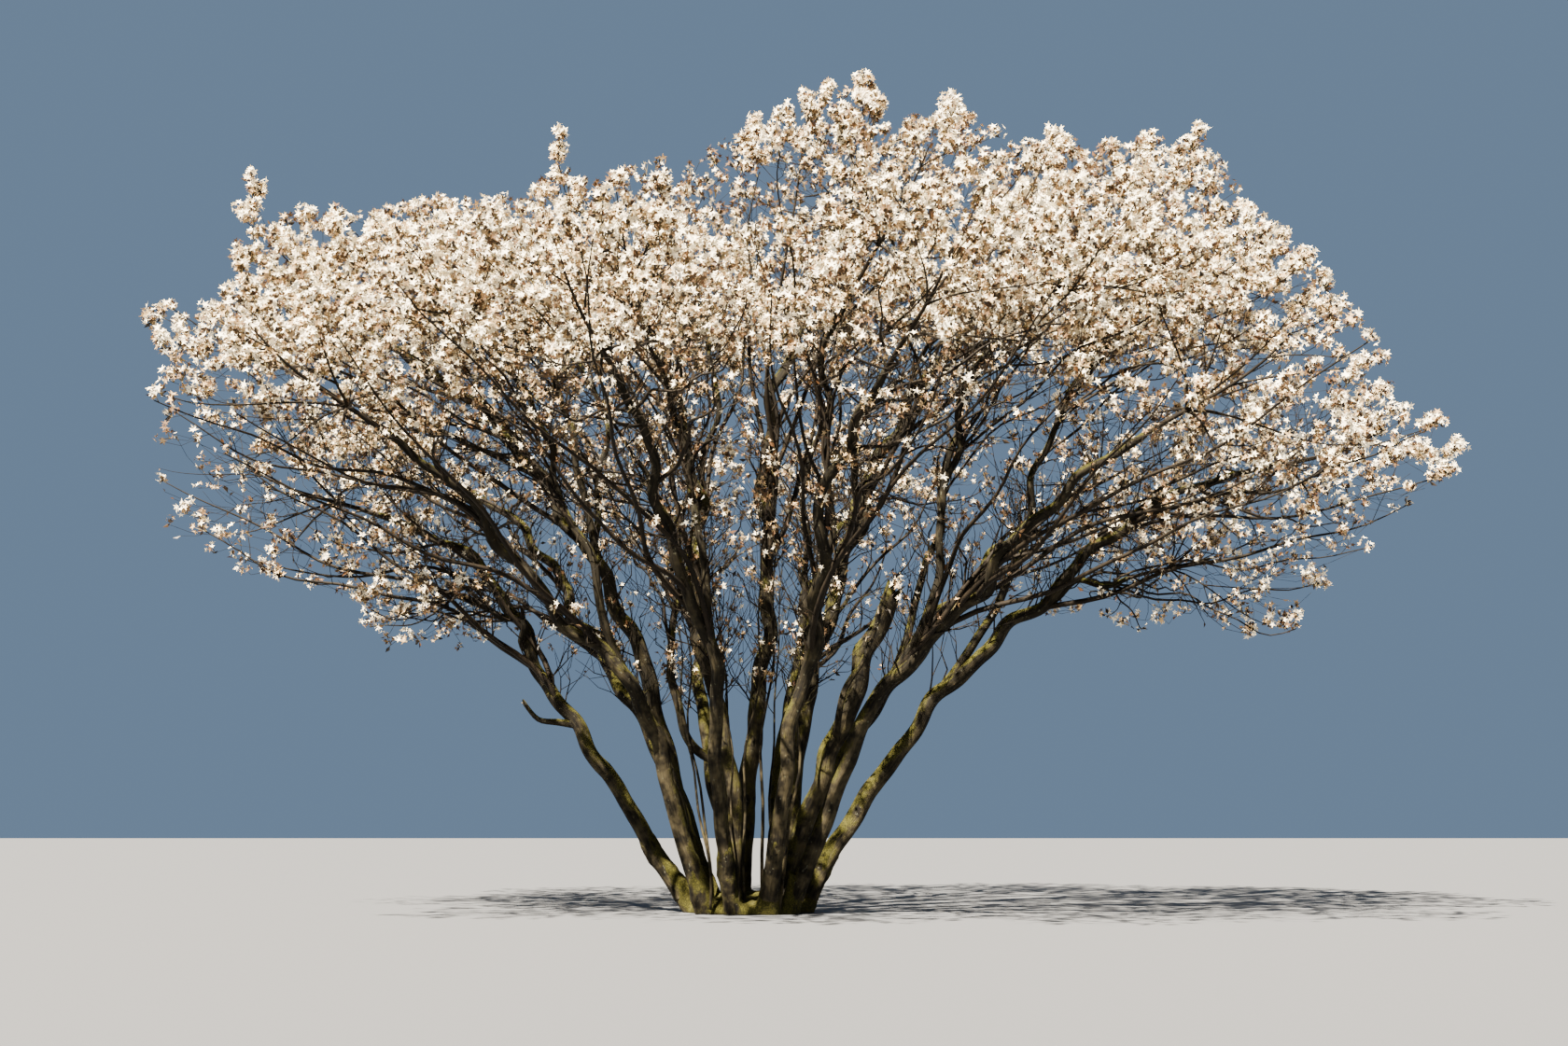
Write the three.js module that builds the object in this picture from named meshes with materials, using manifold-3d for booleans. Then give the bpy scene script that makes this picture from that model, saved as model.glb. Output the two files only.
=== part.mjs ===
// A serviceberry in blossom: many stems from one root crown, fanned out like a vase under a wide dome.
// Millimetres, +Z up. +X is east and +Y is north. The origin is the middle of the flat cut at ground level.
import * as THREE from "three";
import { mergeVertices } from "three/addons/utils/BufferGeometryUtils.js";
import Module from "manifold-3d";

const wasm = await Module();
wasm.setup();

const SEAM = 0.35; // clearance between two solids that meet
const UP = new THREE.Vector3(0, 0, 1);

// The root crown: a low burl that the feet of the stems grow out of.
const BURL_RADIUS = 390;
const BURL_HEIGHT = 130;
const BURIED = 150; // a stem is drawn this far below the cut before it is trimmed
const FLARE_GIRTH = 0.5; // how much wider a stem is at ground level than above its flare
const FLARE_HEIGHT = 170;
const PARTING_HEIGHT = 430; // the root crown ends where the stems have parted from each other
const STUMP = { bearing: -46, out: 355, height: 290, lean: 30, base: 38, top: 25 }; // a sawn stem

// Stems and boughs.
const STEM_STEPS = 12;
const STEM_SIDES = 7;
const STEM_TIP = 20;
const STEM_WANDER = 68; // how far a stem sways from its curve
const STEM_TAPER = 0.75;
const BOUGH_STEPS = 6;
const BOUGH_SIDES = 6;
const BOUGH_TIP = 15;
const BOUGH_SHARE = 0.62; // a bough starts with this share of its stem's radius there
const BOUGH_WANDER = 42;
const BOUGH_TAPER = 0.8;
const LEAN_SHARE = 0.5; // a stem sets off this far from upright towards its mass
const TURN_SHARE = 0.45; // a bough sets off this far from its stem's direction towards its mass
const ARCH = 0.55; // how much a limb bends outwards before it enters its mass
const RISE = 0.6; // how much of the straight way to its mass it keeps there
const PULLS = [0.38, 0.34]; // how far a limb holds its first and last direction, as shares of its length
const SWAYS = [[7, 1], [15, 0.5]]; // turns and size of the sideways waves along a limb
const LIFTS = [[6, 1], [13, 0.5]]; // the same for the upward waves
const SWAY_HOLD = 0.7; // how fast the sway dies out at a limb's two ends

// A mass of blossom is a flattened ball of twigs about its heart.
const SPREAD = 1080;
const DEPTH = 640;
const FLATNESS = 1.5; // heights count this many times where the crown is shared out between the masses
const SPACE_GAP = 10; // half the clearance between the spaces of two masses
const LIMB_GAP = 12; // clearance of twigs and sprays from the limbs
const BEAD_SPACING = 30; // spacing of the beads that stand for a limb where clearance is tested
const ENTRY = 0.52; // a limb ends this share of the spread short of the heart

// Twigs and sprays of blossom in one mass.
const SITE_POOL = 90; // seeded places that the twig ends are chosen from
const SITE_TRIES = 3600; // draws for them, at most
const SITE_MARGIN = 90; // a twig ends this far inside the space, so that its spray fits
const TWIGS = 11; // twigs besides the leader
const LEADER = 0.85; // length of a mass's first twig as a share of the spread
const SEAT_SHARE = 0.9; // the leader starts with this share of its limb's radius at the tip
const TWIG_SHARE = 0.5; // a twig starts with this share of its parent's radius there
const TWIG_TAPER = 0.65; // a twig's radius at its end as a share of that at its root
const TWIG_LEAST = 3.5; // the thinnest twig's radius
const TWIG_SIDES = 3;
const KNOT_SHARES = [0.3, 0.6, 0.88]; // where along a twig others can leave it
const BALANCE = 0.5; // how dearly a twig pays for a root that lies far from the limb
const TURN_PRICE = [1.25, 0.5]; // its price for each millimetre, and how much of it going straight on saves
const SPRAY_HALVES = new THREE.Vector3(190, 120, 260); // half the width, thickness and length of a spray
const SPRAY_AXIS = SPRAY_HALVES.clone().normalize(); // a twig enters its spray through the middle of one face
const SPRAY_SIZES = [0.85, 1.2]; // the smallest and the largest spray, as shares of those halves
const SPRAY_SHARES = [1, 0.78, 0.6]; // a spray that would leave the space is tried smaller
const SPRAY_ROOM = 90; // radius about the middle of a spray that other sprays keep out of
const SLANT = 1.8; // a bead's radius grows by this much when it is measured along a spray's three axes

// Bearings are in degrees anticlockwise from east. out and up place the heart of a limb's mass.
// foot is where a stem stands on the root crown, and lean how far it sets off from upright towards its mass.
// A bough leaves its stem at the share `at` of the stem's length. It sets off at a bearing and climb of its
// own where the row gives them.
const STEMS = [
  {
    name: "east", bearing: -2, out: 3680, up: 2960, radius: 60, arch: 0.7,
    foot: { bearing: -6, out: 330 },
    boughs: [
      { name: "east_low", at: 0.62, bearing: -6, out: 2950, up: 2150 },
      { name: "east_high", at: 0.42, bearing: 7, out: 3130, up: 4120 },
    ],
  },
  {
    name: "southeast", bearing: -36, out: 3300, up: 2950, radius: 55, foot: { bearing: -38, out: 320 },
    boughs: [{ name: "southeast_high", at: 0.45, bearing: -32, out: 2450, up: 3850 }],
  },
  {
    name: "south_east", bearing: -70, out: 2750, up: 3250, radius: 52, foot: { bearing: -70, out: 310 },
    boughs: [{ name: "south_east_high", at: 0.45, bearing: -62, out: 1850, up: 4050 }],
  },
  {
    name: "south_west", bearing: -108, out: 2700, up: 3200, radius: 50, foot: { bearing: -106, out: 310 },
    boughs: [{ name: "south_west_high", at: 0.45, bearing: -116, out: 1800, up: 3620 }],
  },
  {
    name: "southwest", bearing: -144, out: 3050, up: 3000, radius: 54, foot: { bearing: -142, out: 320 },
    boughs: [{ name: "southwest_high", at: 0.45, bearing: -150, out: 2300, up: 3640 }],
  },
  {
    name: "west", bearing: -178, out: 2960, up: 3980, radius: 58, foot: { bearing: 176, out: 190 },
    boughs: [{ name: "west_high", at: 0.5, bearing: -174, out: 2000, up: 4060 }],
  },
  {
    name: "west_low", bearing: 175, out: 2980, up: 2760, radius: 56, arch: 0.7, lean: 0.8,
    foot: { bearing: 178, out: 340 },
    boughs: [{ name: "west_skirt", at: 0.6, bearing: -177, out: 2080, up: 2020, spread: 820, depth: 480 }],
  },
  {
    name: "northwest", bearing: 142, out: 3150, up: 3200, radius: 54, foot: { bearing: 146, out: 330 },
    boughs: [{ name: "northwest_high", at: 0.45, bearing: 138, out: 2250, up: 4200 }],
  },
  {
    name: "north_west", bearing: 108, out: 3000, up: 3300, radius: 50, foot: { bearing: 112, out: 320 },
    boughs: [{ name: "north_west_high", at: 0.45, bearing: 104, out: 1850, up: 4450 }],
  },
  {
    name: "north_east", bearing: 72, out: 3050, up: 3300, radius: 50, foot: { bearing: 72, out: 320 },
    boughs: [{ name: "north_east_high", at: 0.45, bearing: 66, out: 2000, up: 4500 }],
  },
  {
    name: "northeast", bearing: 36, out: 3400, up: 3150, radius: 55, foot: { bearing: 36, out: 330 },
    boughs: [{ name: "northeast_high", at: 0.45, bearing: 31, out: 2600, up: 4350 }],
  },
  {
    name: "top_east", bearing: 6, out: 2250, up: 4760, radius: 62, arch: 0.3, foot: { bearing: 30, out: 150 },
    boughs: [{ name: "inner_east", at: 0.5, bearing: -20, out: 1250, up: 3450 }],
  },
  {
    name: "top", bearing: 12, out: 760, up: 4990, radius: 60, arch: 0.12, foot: { bearing: 125, out: 150 },
    boughs: [],
  },
  {
    name: "top_west", bearing: -172, out: 900, up: 4300, radius: 56, arch: 0.15,
    foot: { bearing: -125, out: 190 },
    boughs: [
      { name: "inner_west", at: 0.25, bearing: -160, out: 1250, up: 3150, sets: { bearing: 190, climb: 10 } },
    ],
  },
];

// Dead wood: a stem broken off above head height, and a broken branch on the low western stem.
const BROKEN_STEM = {
  foot: { bearing: -15, out: 190 }, end: { bearing: -4, out: 910, up: 2010 },
  radius: 66, tip: 54, steps: 6, wander: 14, seed: 401,
};
const BROKEN_BRANCH = {
  stem: "west_low", at: 0.42, sets: { bearing: 184, climb: 4 }, ends: { bearing: 180, climb: 62 },
  reach: 330, lift: 150, base: 25, tip: 12, steps: 5, wander: 5, seed: 402,
};

// One seeded stream of numbers from 0 to 1.
function seeded(seed) {
  let state = seed >>> 0;
  return () => {
    state = (Math.imul(1664525, state) + 1013904223) >>> 0;
    return state / 4294967296;
  };
}

// A point at a bearing in degrees, a distance out and a height.
function polar(bearing, out, up) {
  const angle = THREE.MathUtils.degToRad(bearing);
  return new THREE.Vector3(out * Math.cos(angle), out * Math.sin(angle), up);
}

// A direction at a bearing and a climb above the level, in degrees.
function heading({ bearing, climb }) {
  const angle = THREE.MathUtils.degToRad(climb);
  return polar(bearing, Math.cos(angle), Math.sin(angle));
}

// A point on the way from one vector to another, as a new vector.
function between(a, b, share) {
  return a.clone().lerp(b, share);
}

// The direction from one point to another.
function towards(from, to) {
  return to.clone().sub(from).normalize();
}

// The path of a limb: a curve that sets off along `leaving`, comes in along `arriving` and sways on the way.
function limbPath({ start, leaving, end, arriving, steps, wander, seed }) {
  const length = start.distanceTo(end);
  const curve = new THREE.CubicBezierCurve3(
    start,
    start.clone().addScaledVector(leaving, PULLS[0] * length),
    end.clone().addScaledVector(arriving, -PULLS[1] * length),
    end,
  );
  const along = towards(start, end);
  const side = new THREE.Vector3().crossVectors(along, UP).normalize();
  const rise = new THREE.Vector3().crossVectors(side, along);
  const random = seeded(seed);
  const waves = [...SWAYS, ...LIFTS].map(([turns, size]) => {
    const phase = 2 * Math.PI * random();
    return (t) => size * Math.sin(turns * t + phase);
  });
  const points = [];
  for (let i = 0; i <= steps; i++) {
    const t = i / steps;
    const held = wander * Math.sin(Math.PI * t) ** SWAY_HOLD;
    const [sway, smallSway, lift, smallLift] = waves.map((wave) => held * wave(t));
    const point = curve.getPoint(t).addScaledVector(side, sway + smallSway);
    points.push(point.addScaledVector(rise, lift + smallLift));
  }
  return points;
}

// Every limb has a path and a radius at each point of it.
const limbs = [];
const masses = [];

function addLimb({ name, stem = null, girth, ...shape }) {
  const path = limbPath(shape);
  const limb = { name, stem, path, radius: path.map((point, i) => girth(i / shape.steps, point)) };
  limbs.push(limb);
  return limb;
}

// A limb that carries a mass, and ends where it enters the mass's space.
function addBearer(row, { start, seed, ...shape }) {
  const heart = polar(row.bearing, row.out, row.up);
  const arriving = towards(start, heart).multiplyScalar(RISE);
  arriving.addScaledVector(polar(row.bearing, 1, 0), row.arch ?? ARCH).normalize();
  const spread = row.spread ?? SPREAD;
  const end = heart.clone().addScaledVector(arriving, -ENTRY * spread);
  const limb = addLimb({ start, end, arriving, seed, ...shape });
  const onward = towards(limb.path.at(-2), limb.path.at(-1));
  masses.push({ name: row.name, limb, heart, onward, spread, depth: row.depth ?? DEPTH, seed: 7 * seed });
  return limb;
}

// Where a stem is first drawn below ground, so that its middle passes through its foot.
function buriedStart(foot, leaving) {
  return polar(foot.bearing, foot.out, 0).addScaledVector(leaving, -BURIED / leaving.z);
}

// A stem's radius: a taper from base to tip, widened by the flare at ground level.
function stemGirth(base, tip, power) {
  return (t, point) => {
    const flare = 1 + FLARE_GIRTH * Math.exp(-Math.max(0, point.z) / FLARE_HEIGHT);
    return tip + (base - tip) * (1 - t) ** power * flare;
  };
}

STEMS.forEach((row, i) => {
  const foot = polar(row.foot.bearing, row.foot.out, 0);
  const toHeart = towards(foot, polar(row.bearing, row.out, row.up));
  const leaving = between(UP, toHeart, row.lean ?? LEAN_SHARE).normalize();
  const stem = addBearer(row, {
    name: `stem_${row.name}`,
    start: buriedStart(row.foot, leaving),
    leaving,
    steps: STEM_STEPS,
    girth: stemGirth(row.radius, STEM_TIP, STEM_TAPER),
    wander: STEM_WANDER,
    seed: 100 + i,
  });
  row.boughs.forEach((bough, j) => {
    const index = Math.round(bough.at * STEM_STEPS);
    const start = stem.path[index].clone();
    const onward = towards(stem.path[index - 1], stem.path[index + 1]);
    const toHeart = towards(start, polar(bough.bearing, bough.out, bough.up));
    const base = BOUGH_SHARE * stem.radius[index];
    addBearer(bough, {
      name: `bough_${bough.name}`,
      stem,
      start,
      leaving: bough.sets ? heading(bough.sets) : between(onward, toHeart, TURN_SHARE).normalize(),
      steps: BOUGH_STEPS,
      girth: (t) => BOUGH_TIP + (base - BOUGH_TIP) * (1 - t) ** BOUGH_TAPER,
      wander: BOUGH_WANDER,
      seed: 200 + 10 * i + j,
    });
  });
});

// The broken stem leans straight to its end.
{
  const { foot, end, radius, tip, ...rest } = BROKEN_STEM;
  const to = polar(end.bearing, end.out, end.up);
  const leaving = between(UP, towards(polar(foot.bearing, foot.out, 0), to), LEAN_SHARE).normalize();
  const start = buriedStart(foot, leaving);
  const girth = stemGirth(radius, tip, 1);
  addLimb({ name: "dead_stem", start, leaving, end: to, arriving: towards(start, to), girth, ...rest });
}

// The broken branch leaves its stem level and turns up.
{
  const { stem: stemName, at, sets, ends, reach, lift, base, tip, ...rest } = BROKEN_BRANCH;
  const stem = limbs.find((limb) => limb.name === `stem_${stemName}`);
  const start = stem.path[Math.round(at * STEM_STEPS)].clone();
  const end = start.clone().add(polar(sets.bearing, reach, lift));
  const girth = (t) => base + (tip - base) * t;
  const leaving = heading(sets);
  addLimb({ name: "dead_branch", stem, start, leaving, end, arriving: heading(ends), girth, ...rest });
}

// The walls of a mass's space lie halfway to every other heart.
for (const mass of masses) {
  const others = masses.filter((other) => other !== mass);
  mass.walls = others.map((other) => {
    const normal = mass.heart.clone().sub(other.heart);
    normal.z *= FLATNESS ** 2;
    normal.normalize();
    return { normal, offset: normal.dot(between(mass.heart, other.heart, 0.5)) + SPACE_GAP };
  });
}

// Whether a point lies in the space of a mass, at least a margin from its walls and its rounded outside.
function inSpace(mass, point, margin = 0) {
  const level = Math.hypot(point.x - mass.heart.x, point.y - mass.heart.y) / (mass.spread - margin);
  const height = (point.z - mass.heart.z) / (mass.depth - margin);
  const round = level ** 2 + height ** 2 <= 1;
  return round && mass.walls.every(({ normal, offset }) => normal.dot(point) > offset + margin);
}

// Beads strung close along a limb or twig, which stand for it where something else has to keep clear of it.
function beadsAlong(owner, path, radius) {
  return path.slice(1).flatMap((point, i) => {
    const count = Math.ceil(point.distanceTo(path[i]) / BEAD_SPACING);
    return Array.from({ length: count + 1 }, (_, j) => ({
      owner,
      point: between(path[i], point, j / count),
      radius: THREE.MathUtils.lerp(radius[i], radius[i + 1], j / count),
    }));
  });
}

const limbBeads = limbs.flatMap((limb) => beadsAlong(limb, limb.path, limb.radius));

// The beads of limbs that a mass has to keep clear of.
function beadsNear(mass) {
  return limbBeads.filter((bead) => bead.point.distanceTo(mass.heart) < 1.5 * mass.spread);
}

// Whether a twig of a given girth, straight from a to b, keeps its distance from the beads.
function clearOf(beads, a, b, girth) {
  const step = b.clone().sub(a);
  const square = Math.max(step.lengthSq(), 1e-6);
  return beads.every(({ point, radius }) => {
    const share = THREE.MathUtils.clamp(point.clone().sub(a).dot(step) / square, 0, 1);
    return point.distanceTo(a.clone().addScaledVector(step, share)) > radius + girth + LIMB_GAP;
  });
}

// Even places for twig ends: of a seeded pool in the space, each next one is the furthest from those taken.
function twigSites(mass, beads, random) {
  const tip = mass.limb.path.at(-1);
  const pool = [];
  for (let tries = 0; tries < SITE_TRIES && pool.length < SITE_POOL; tries++) {
    const [x, y, z] = [random(), random(), random()].map((share) => 2 * share - 1);
    const point = new THREE.Vector3(x * mass.spread, y * mass.spread, z * mass.depth).add(mass.heart);
    const ahead = point.clone().sub(tip).dot(mass.onward) > 0;
    const free = inSpace(mass, point, SITE_MARGIN) && clearOf(beads, point, point, SITE_MARGIN);
    if (ahead && free) pool.push(point);
  }
  const taken = [mass.heart];
  while (taken.length <= TWIGS) {
    const room = pool.map((point) => Math.min(...taken.map((other) => other.distanceTo(point))));
    taken.push(pool[room.indexOf(Math.max(...room))]);
  }
  return taken.slice(1).sort((a, b) => a.distanceTo(tip) - b.distanceTo(tip));
}

// A straight twig from its root to its end. It can bear others at its knots. Each knot knows its direction,
// its girth and how far it lies from the limb.
function newTwig(from, to, girth, travelled) {
  const onward = towards(from, to);
  const radius = [girth, Math.max(TWIG_LEAST, TWIG_TAPER * girth)];
  const knots = KNOT_SHARES.map((share) => {
    const point = between(from, to, share);
    const here = THREE.MathUtils.lerp(...radius, share);
    return { point, onward, travelled: travelled + point.distanceTo(from), girth: here };
  });
  return { path: [from, to], onward, radius, knots };
}

// The twigs of a mass: one straight on from the limb's tip, then one to each site from the cheapest knot.
function growTwigs(mass, beads, random) {
  const { limb, onward, spread } = mass;
  const seat = limb.path.at(-1).clone().addScaledVector(onward, SEAM);
  const tip = seat.clone().addScaledVector(onward, LEADER * spread);
  const leader = newTwig(seat, tip, SEAT_SHARE * limb.radius.at(-1), 0);
  const others = beads.filter((bead) => bead.owner !== limb);
  if (!inSpace(mass, tip) || !clearOf(others, seat, tip, leader.radius[0])) {
    throw new Error(`the leader of ${mass.name} has no room`);
  }
  const twigs = [leader];
  for (const site of twigSites(mass, beads, random)) {
    const price = (knot) => {
      const way = site.clone().sub(knot.point);
      const distance = way.length();
      return TURN_PRICE[0] * distance - TURN_PRICE[1] * way.dot(knot.onward) + BALANCE * knot.travelled;
    };
    const root = twigs.flatMap((twig) => twig.knots).reduce((a, b) => (price(b) < price(a) ? b : a));
    const twig = newTwig(root.point, site, Math.max(TWIG_LEAST, TWIG_SHARE * root.girth), root.travelled);
    if (clearOf(beads, ...twig.path, twig.radius[0])) twigs.push(twig);
  }
  return twigs;
}

// A spray of blossom: a flattened octahedron about the end of its twig, or null where it has no room.
function spray(mass, twig, obstacles, random) {
  const middle = twig.path[1];
  const turn = new THREE.Quaternion().setFromAxisAngle(SPRAY_AXIS, 2 * Math.PI * random());
  turn.premultiply(new THREE.Quaternion().setFromUnitVectors(SPRAY_AXIS, twig.onward));
  const back = turn.clone().invert();
  const size = THREE.MathUtils.lerp(...SPRAY_SIZES, random());
  for (const share of SPRAY_SHARES) {
    const halves = SPRAY_HALVES.clone().multiplyScalar(share * size);
    const geometry = new THREE.OctahedronGeometry(1).scale(...halves.toArray()).applyQuaternion(turn);
    geometry.translate(...middle.toArray());
    const position = geometry.getAttribute("position");
    const corners = Array.from({ length: position.count }, (_, i) =>
      new THREE.Vector3().fromBufferAttribute(position, i),
    );
    const touched = obstacles.some(({ point, radius }) => {
      const room = SLANT * (radius + LIMB_GAP);
      const place = point.clone().sub(middle).applyQuaternion(back).toArray();
      const [x, y, z] = place.map((along, i) => Math.abs(along) / (halves.getComponent(i) + room));
      return x + y + z < 1;
    });
    if (!touched && corners.every((corner) => inSpace(mass, corner))) return geometry;
  }
  return null;
}

// Frames along a path: at each point, two directions square to it that turn with it as little as they can.
function framesAlong(path) {
  const last = path.length - 1;
  const tangents = path.map((_, i) => towards(path[Math.max(i - 1, 0)], path[Math.min(i + 1, last)]));
  let normal = new THREE.Vector3().crossVectors(tangents[0], new THREE.Vector3(1, 0.2, 0)).normalize();
  return tangents.map((tangent) => {
    normal = normal.clone().addScaledVector(tangent, -normal.dot(tangent)).normalize();
    return { tangent, normal, binormal: new THREE.Vector3().crossVectors(tangent, normal) };
  });
}

// A tapering tube with closed ends: a lathed column whose rings are set along a stretch of the path.
function tubeGeometry({ path, radius }, sides, from = 0, to = path.length - 1) {
  const profile = [new THREE.Vector2(0, from)];
  for (let i = from; i <= to; i++) profile.push(new THREE.Vector2(radius[i], i));
  profile.push(new THREE.Vector2(0, to));
  const geometry = new THREE.LatheGeometry(profile, sides);
  const frames = framesAlong(path);
  const position = geometry.getAttribute("position");
  for (let v = 0; v < position.count; v++) {
    const ring = Math.round(position.getY(v));
    const { tangent, normal, binormal } = frames[ring];
    const point = path[ring].clone();
    point.addScaledVector(normal, position.getX(v)).addScaledVector(binormal, position.getZ(v));
    if (ring === from && from > 0) point.addScaledVector(tangent, SEAM);
    position.setXYZ(v, point.x, point.y, point.z);
  }
  return geometry;
}

// A closed geometry as a solid. A lathed tube may come out inside out, and is turned.
function solid(geometry) {
  geometry.deleteAttribute("normal");
  geometry.deleteAttribute("uv");
  const merged = mergeVertices(geometry, 1e-3);
  const vertProperties = merged.attributes.position.array;
  const triVerts = Uint32Array.from(merged.index.array);
  const made = new wasm.Manifold(new wasm.Mesh({ numProp: 3, vertProperties, triVerts }));
  if (made.volume() > 0) return made;
  return new wasm.Manifold(new wasm.Mesh({ numProp: 3, vertProperties, triVerts: triVerts.reverse() }));
}

function geometryOf(made) {
  const mesh = made.getMesh();
  const geometry = new THREE.BufferGeometry();
  geometry.setAttribute("position", new THREE.BufferAttribute(new Float32Array(mesh.vertProperties), 3));
  geometry.setIndex(new THREE.BufferAttribute(new Uint32Array(mesh.triVerts), 1));
  geometry.computeVertexNormals();
  return geometry;
}

function union(solids) {
  return solids.reduce((sum, part) => sum.add(part));
}

// The largest outer shell of a solid: a loose scrap is dropped and a sealed hollow is filled.
function largest(made) {
  return made.decompose().reduce((a, b) => (b.volume() > a.volume() ? b : a));
}

// The ring of a stem at which it parts from the root crown.
function partingIndex(stem) {
  return stem.path.findIndex((point) => point.z > PARTING_HEIGHT);
}

// The root crown: the feet of the stems and a sawn stump, grown into one low burl and cut flat at the ground.
function rootCrown() {
  const stems = limbs.filter((limb) => !limb.stem);
  const feet = stems.map((stem) => solid(tubeGeometry(stem, STEM_SIDES, 0, partingIndex(stem))));
  const { bearing, out, height, lean, base, top } = STUMP;
  const path = [polar(bearing, out, -BURIED), polar(bearing, out, 0), polar(bearing, out + lean, height)];
  const stump = tubeGeometry({ path, radius: [base, base, top] }, STEM_SIDES);
  const burl = new THREE.SphereGeometry(BURL_RADIUS, 14, 6).rotateX(Math.PI / 2);
  burl.scale(1, 1, BURL_HEIGHT / BURL_RADIUS);
  const soil = new THREE.BoxGeometry(4000, 4000, 1000).translate(0, 0, -500);
  return largest(union([solid(burl), ...feet, solid(stump)]).subtract(solid(soil)));
}

// A stem above the root crown, or a bough or branch trimmed to the stem it grows from.
function limbSolid(limb) {
  if (!limb.stem) return solid(tubeGeometry(limb, STEM_SIDES, partingIndex(limb)));
  const radius = limb.stem.radius.map((girth) => girth + SEAM / Math.cos(Math.PI / STEM_SIDES));
  const room = solid(tubeGeometry({ path: limb.stem.path, radius }, STEM_SIDES));
  return largest(solid(tubeGeometry(limb, BOUGH_SIDES)).subtract(room));
}

// A mass of blossom: its twigs, with a spray at every end that has room for one.
function massSolid(mass) {
  const random = seeded(mass.seed);
  const beads = beadsNear(mass);
  const twigs = growTwigs(mass, beads, random);
  const obstacles = [...beads, ...twigs.flatMap((twig) => beadsAlong(twig, twig.path, twig.radius))];
  const solids = twigs.map((twig) => solid(tubeGeometry(twig, TWIG_SIDES)));
  for (const twig of twigs) {
    const geometry = spray(mass, twig, obstacles.filter((bead) => bead.owner !== twig), random);
    if (!geometry) continue;
    solids.push(solid(geometry));
    obstacles.push({ owner: geometry, point: twig.path[1], radius: SPRAY_ROOM });
  }
  return largest(union(solids));
}

const bark = new THREE.MeshStandardMaterial({ color: 0x4a4136, roughness: 0.9, metalness: 0 });
const mossyBark = new THREE.MeshStandardMaterial({ color: 0x5c5a33, roughness: 0.95, metalness: 0 });
const blossom = new THREE.MeshStandardMaterial({ color: 0xf3e9dc, roughness: 0.75, metalness: 0 });

const tree = new THREE.Group();

function addNode(name, made, material) {
  const mesh = new THREE.Mesh(geometryOf(made), material);
  mesh.name = name;
  tree.add(mesh);
}

addNode("root_crown", rootCrown(), mossyBark);
for (const limb of limbs) addNode(limb.name, limbSolid(limb), bark);
for (const mass of masses) addNode(`blossom_${mass.name}`, massSolid(mass), blossom);

export default tree;
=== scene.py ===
import bmesh
import bpy
import numpy as np
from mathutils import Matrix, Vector, noise


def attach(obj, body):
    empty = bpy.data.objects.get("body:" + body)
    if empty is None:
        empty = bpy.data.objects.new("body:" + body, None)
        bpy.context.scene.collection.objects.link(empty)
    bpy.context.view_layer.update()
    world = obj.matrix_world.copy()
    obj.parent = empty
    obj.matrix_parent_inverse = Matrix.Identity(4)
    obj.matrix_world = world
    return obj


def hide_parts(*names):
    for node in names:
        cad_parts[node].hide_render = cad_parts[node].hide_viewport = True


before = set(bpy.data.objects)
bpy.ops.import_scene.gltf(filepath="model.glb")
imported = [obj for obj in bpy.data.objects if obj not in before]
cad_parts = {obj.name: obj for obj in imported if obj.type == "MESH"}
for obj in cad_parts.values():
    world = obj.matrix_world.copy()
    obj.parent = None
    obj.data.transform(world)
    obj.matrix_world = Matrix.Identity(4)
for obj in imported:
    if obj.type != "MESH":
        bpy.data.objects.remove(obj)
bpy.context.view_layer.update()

# The limbs: fourteen living stems that rise from one root crown, each bending outwards to the blossom that it
# carries, and the boughs that leave them lower down. They are wood under thin grey-brown bark, grown in one
# piece. Their lines are worked out from where each stem stands and where its mass of blossom has its heart.
UP = np.array([0.0, 0.0, 1.0])
BURIED = 0.15  # a stem is drawn this far below the ground before it is cut flat
FLARE_GIRTH = 0.5  # how much wider a stem is at ground level than above its flare
FLARE_HEIGHT = 0.17
STEM_SEEDS, BOUGH_SEEDS = 100, 200
STEM_STEPS = 12
STEM_TIP = 0.020
STEM_TAPER = 0.75
BOUGH_STEPS = 6
BOUGH_TIP = 0.015
BOUGH_SHARE = 0.62  # a bough starts with this share of its stem's radius there
BOUGH_TAPER = 0.8
WANDER = {"stem": 0.068, "bough": 0.042}  # how far a limb sways from its curve
LEAN_SHARE = 0.5  # a stem sets off this far from upright towards its mass
TURN_SHARE = 0.45  # a bough sets off this far from its stem's direction towards its mass
ARCH = 0.55  # how much a limb bends outwards before it enters its mass
RISE = 0.6  # how much of the straight way to its mass it keeps there
PULLS = (0.38, 0.34)  # how far a limb holds its first and last direction, as shares of its length
WAVES = ((7, 1.0), (15, 0.5), (6, 1.0), (13, 0.5))  # turns and size of its sideways, then its upward waves
SWAY_HOLD = 0.7  # how fast the sway dies out at a limb's two ends
CROOK = 0.0150  # how far the short crooks of a limb one metre long stand off its curve
CROOKS = np.array([8.5, 9.7, 15.0, 17.5])  # their turns in a metre, sideways and upward by turns
CROOKS_BEGIN = 1.6  # how fast they come up from the limb's root
CROOKS_APART = 2.1  # what sets their phases off from the sway's
SPREAD = 1.08
DEPTH = 0.64
ENTRY = 0.52  # a limb ends this share of its mass's spread short of the heart

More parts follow.
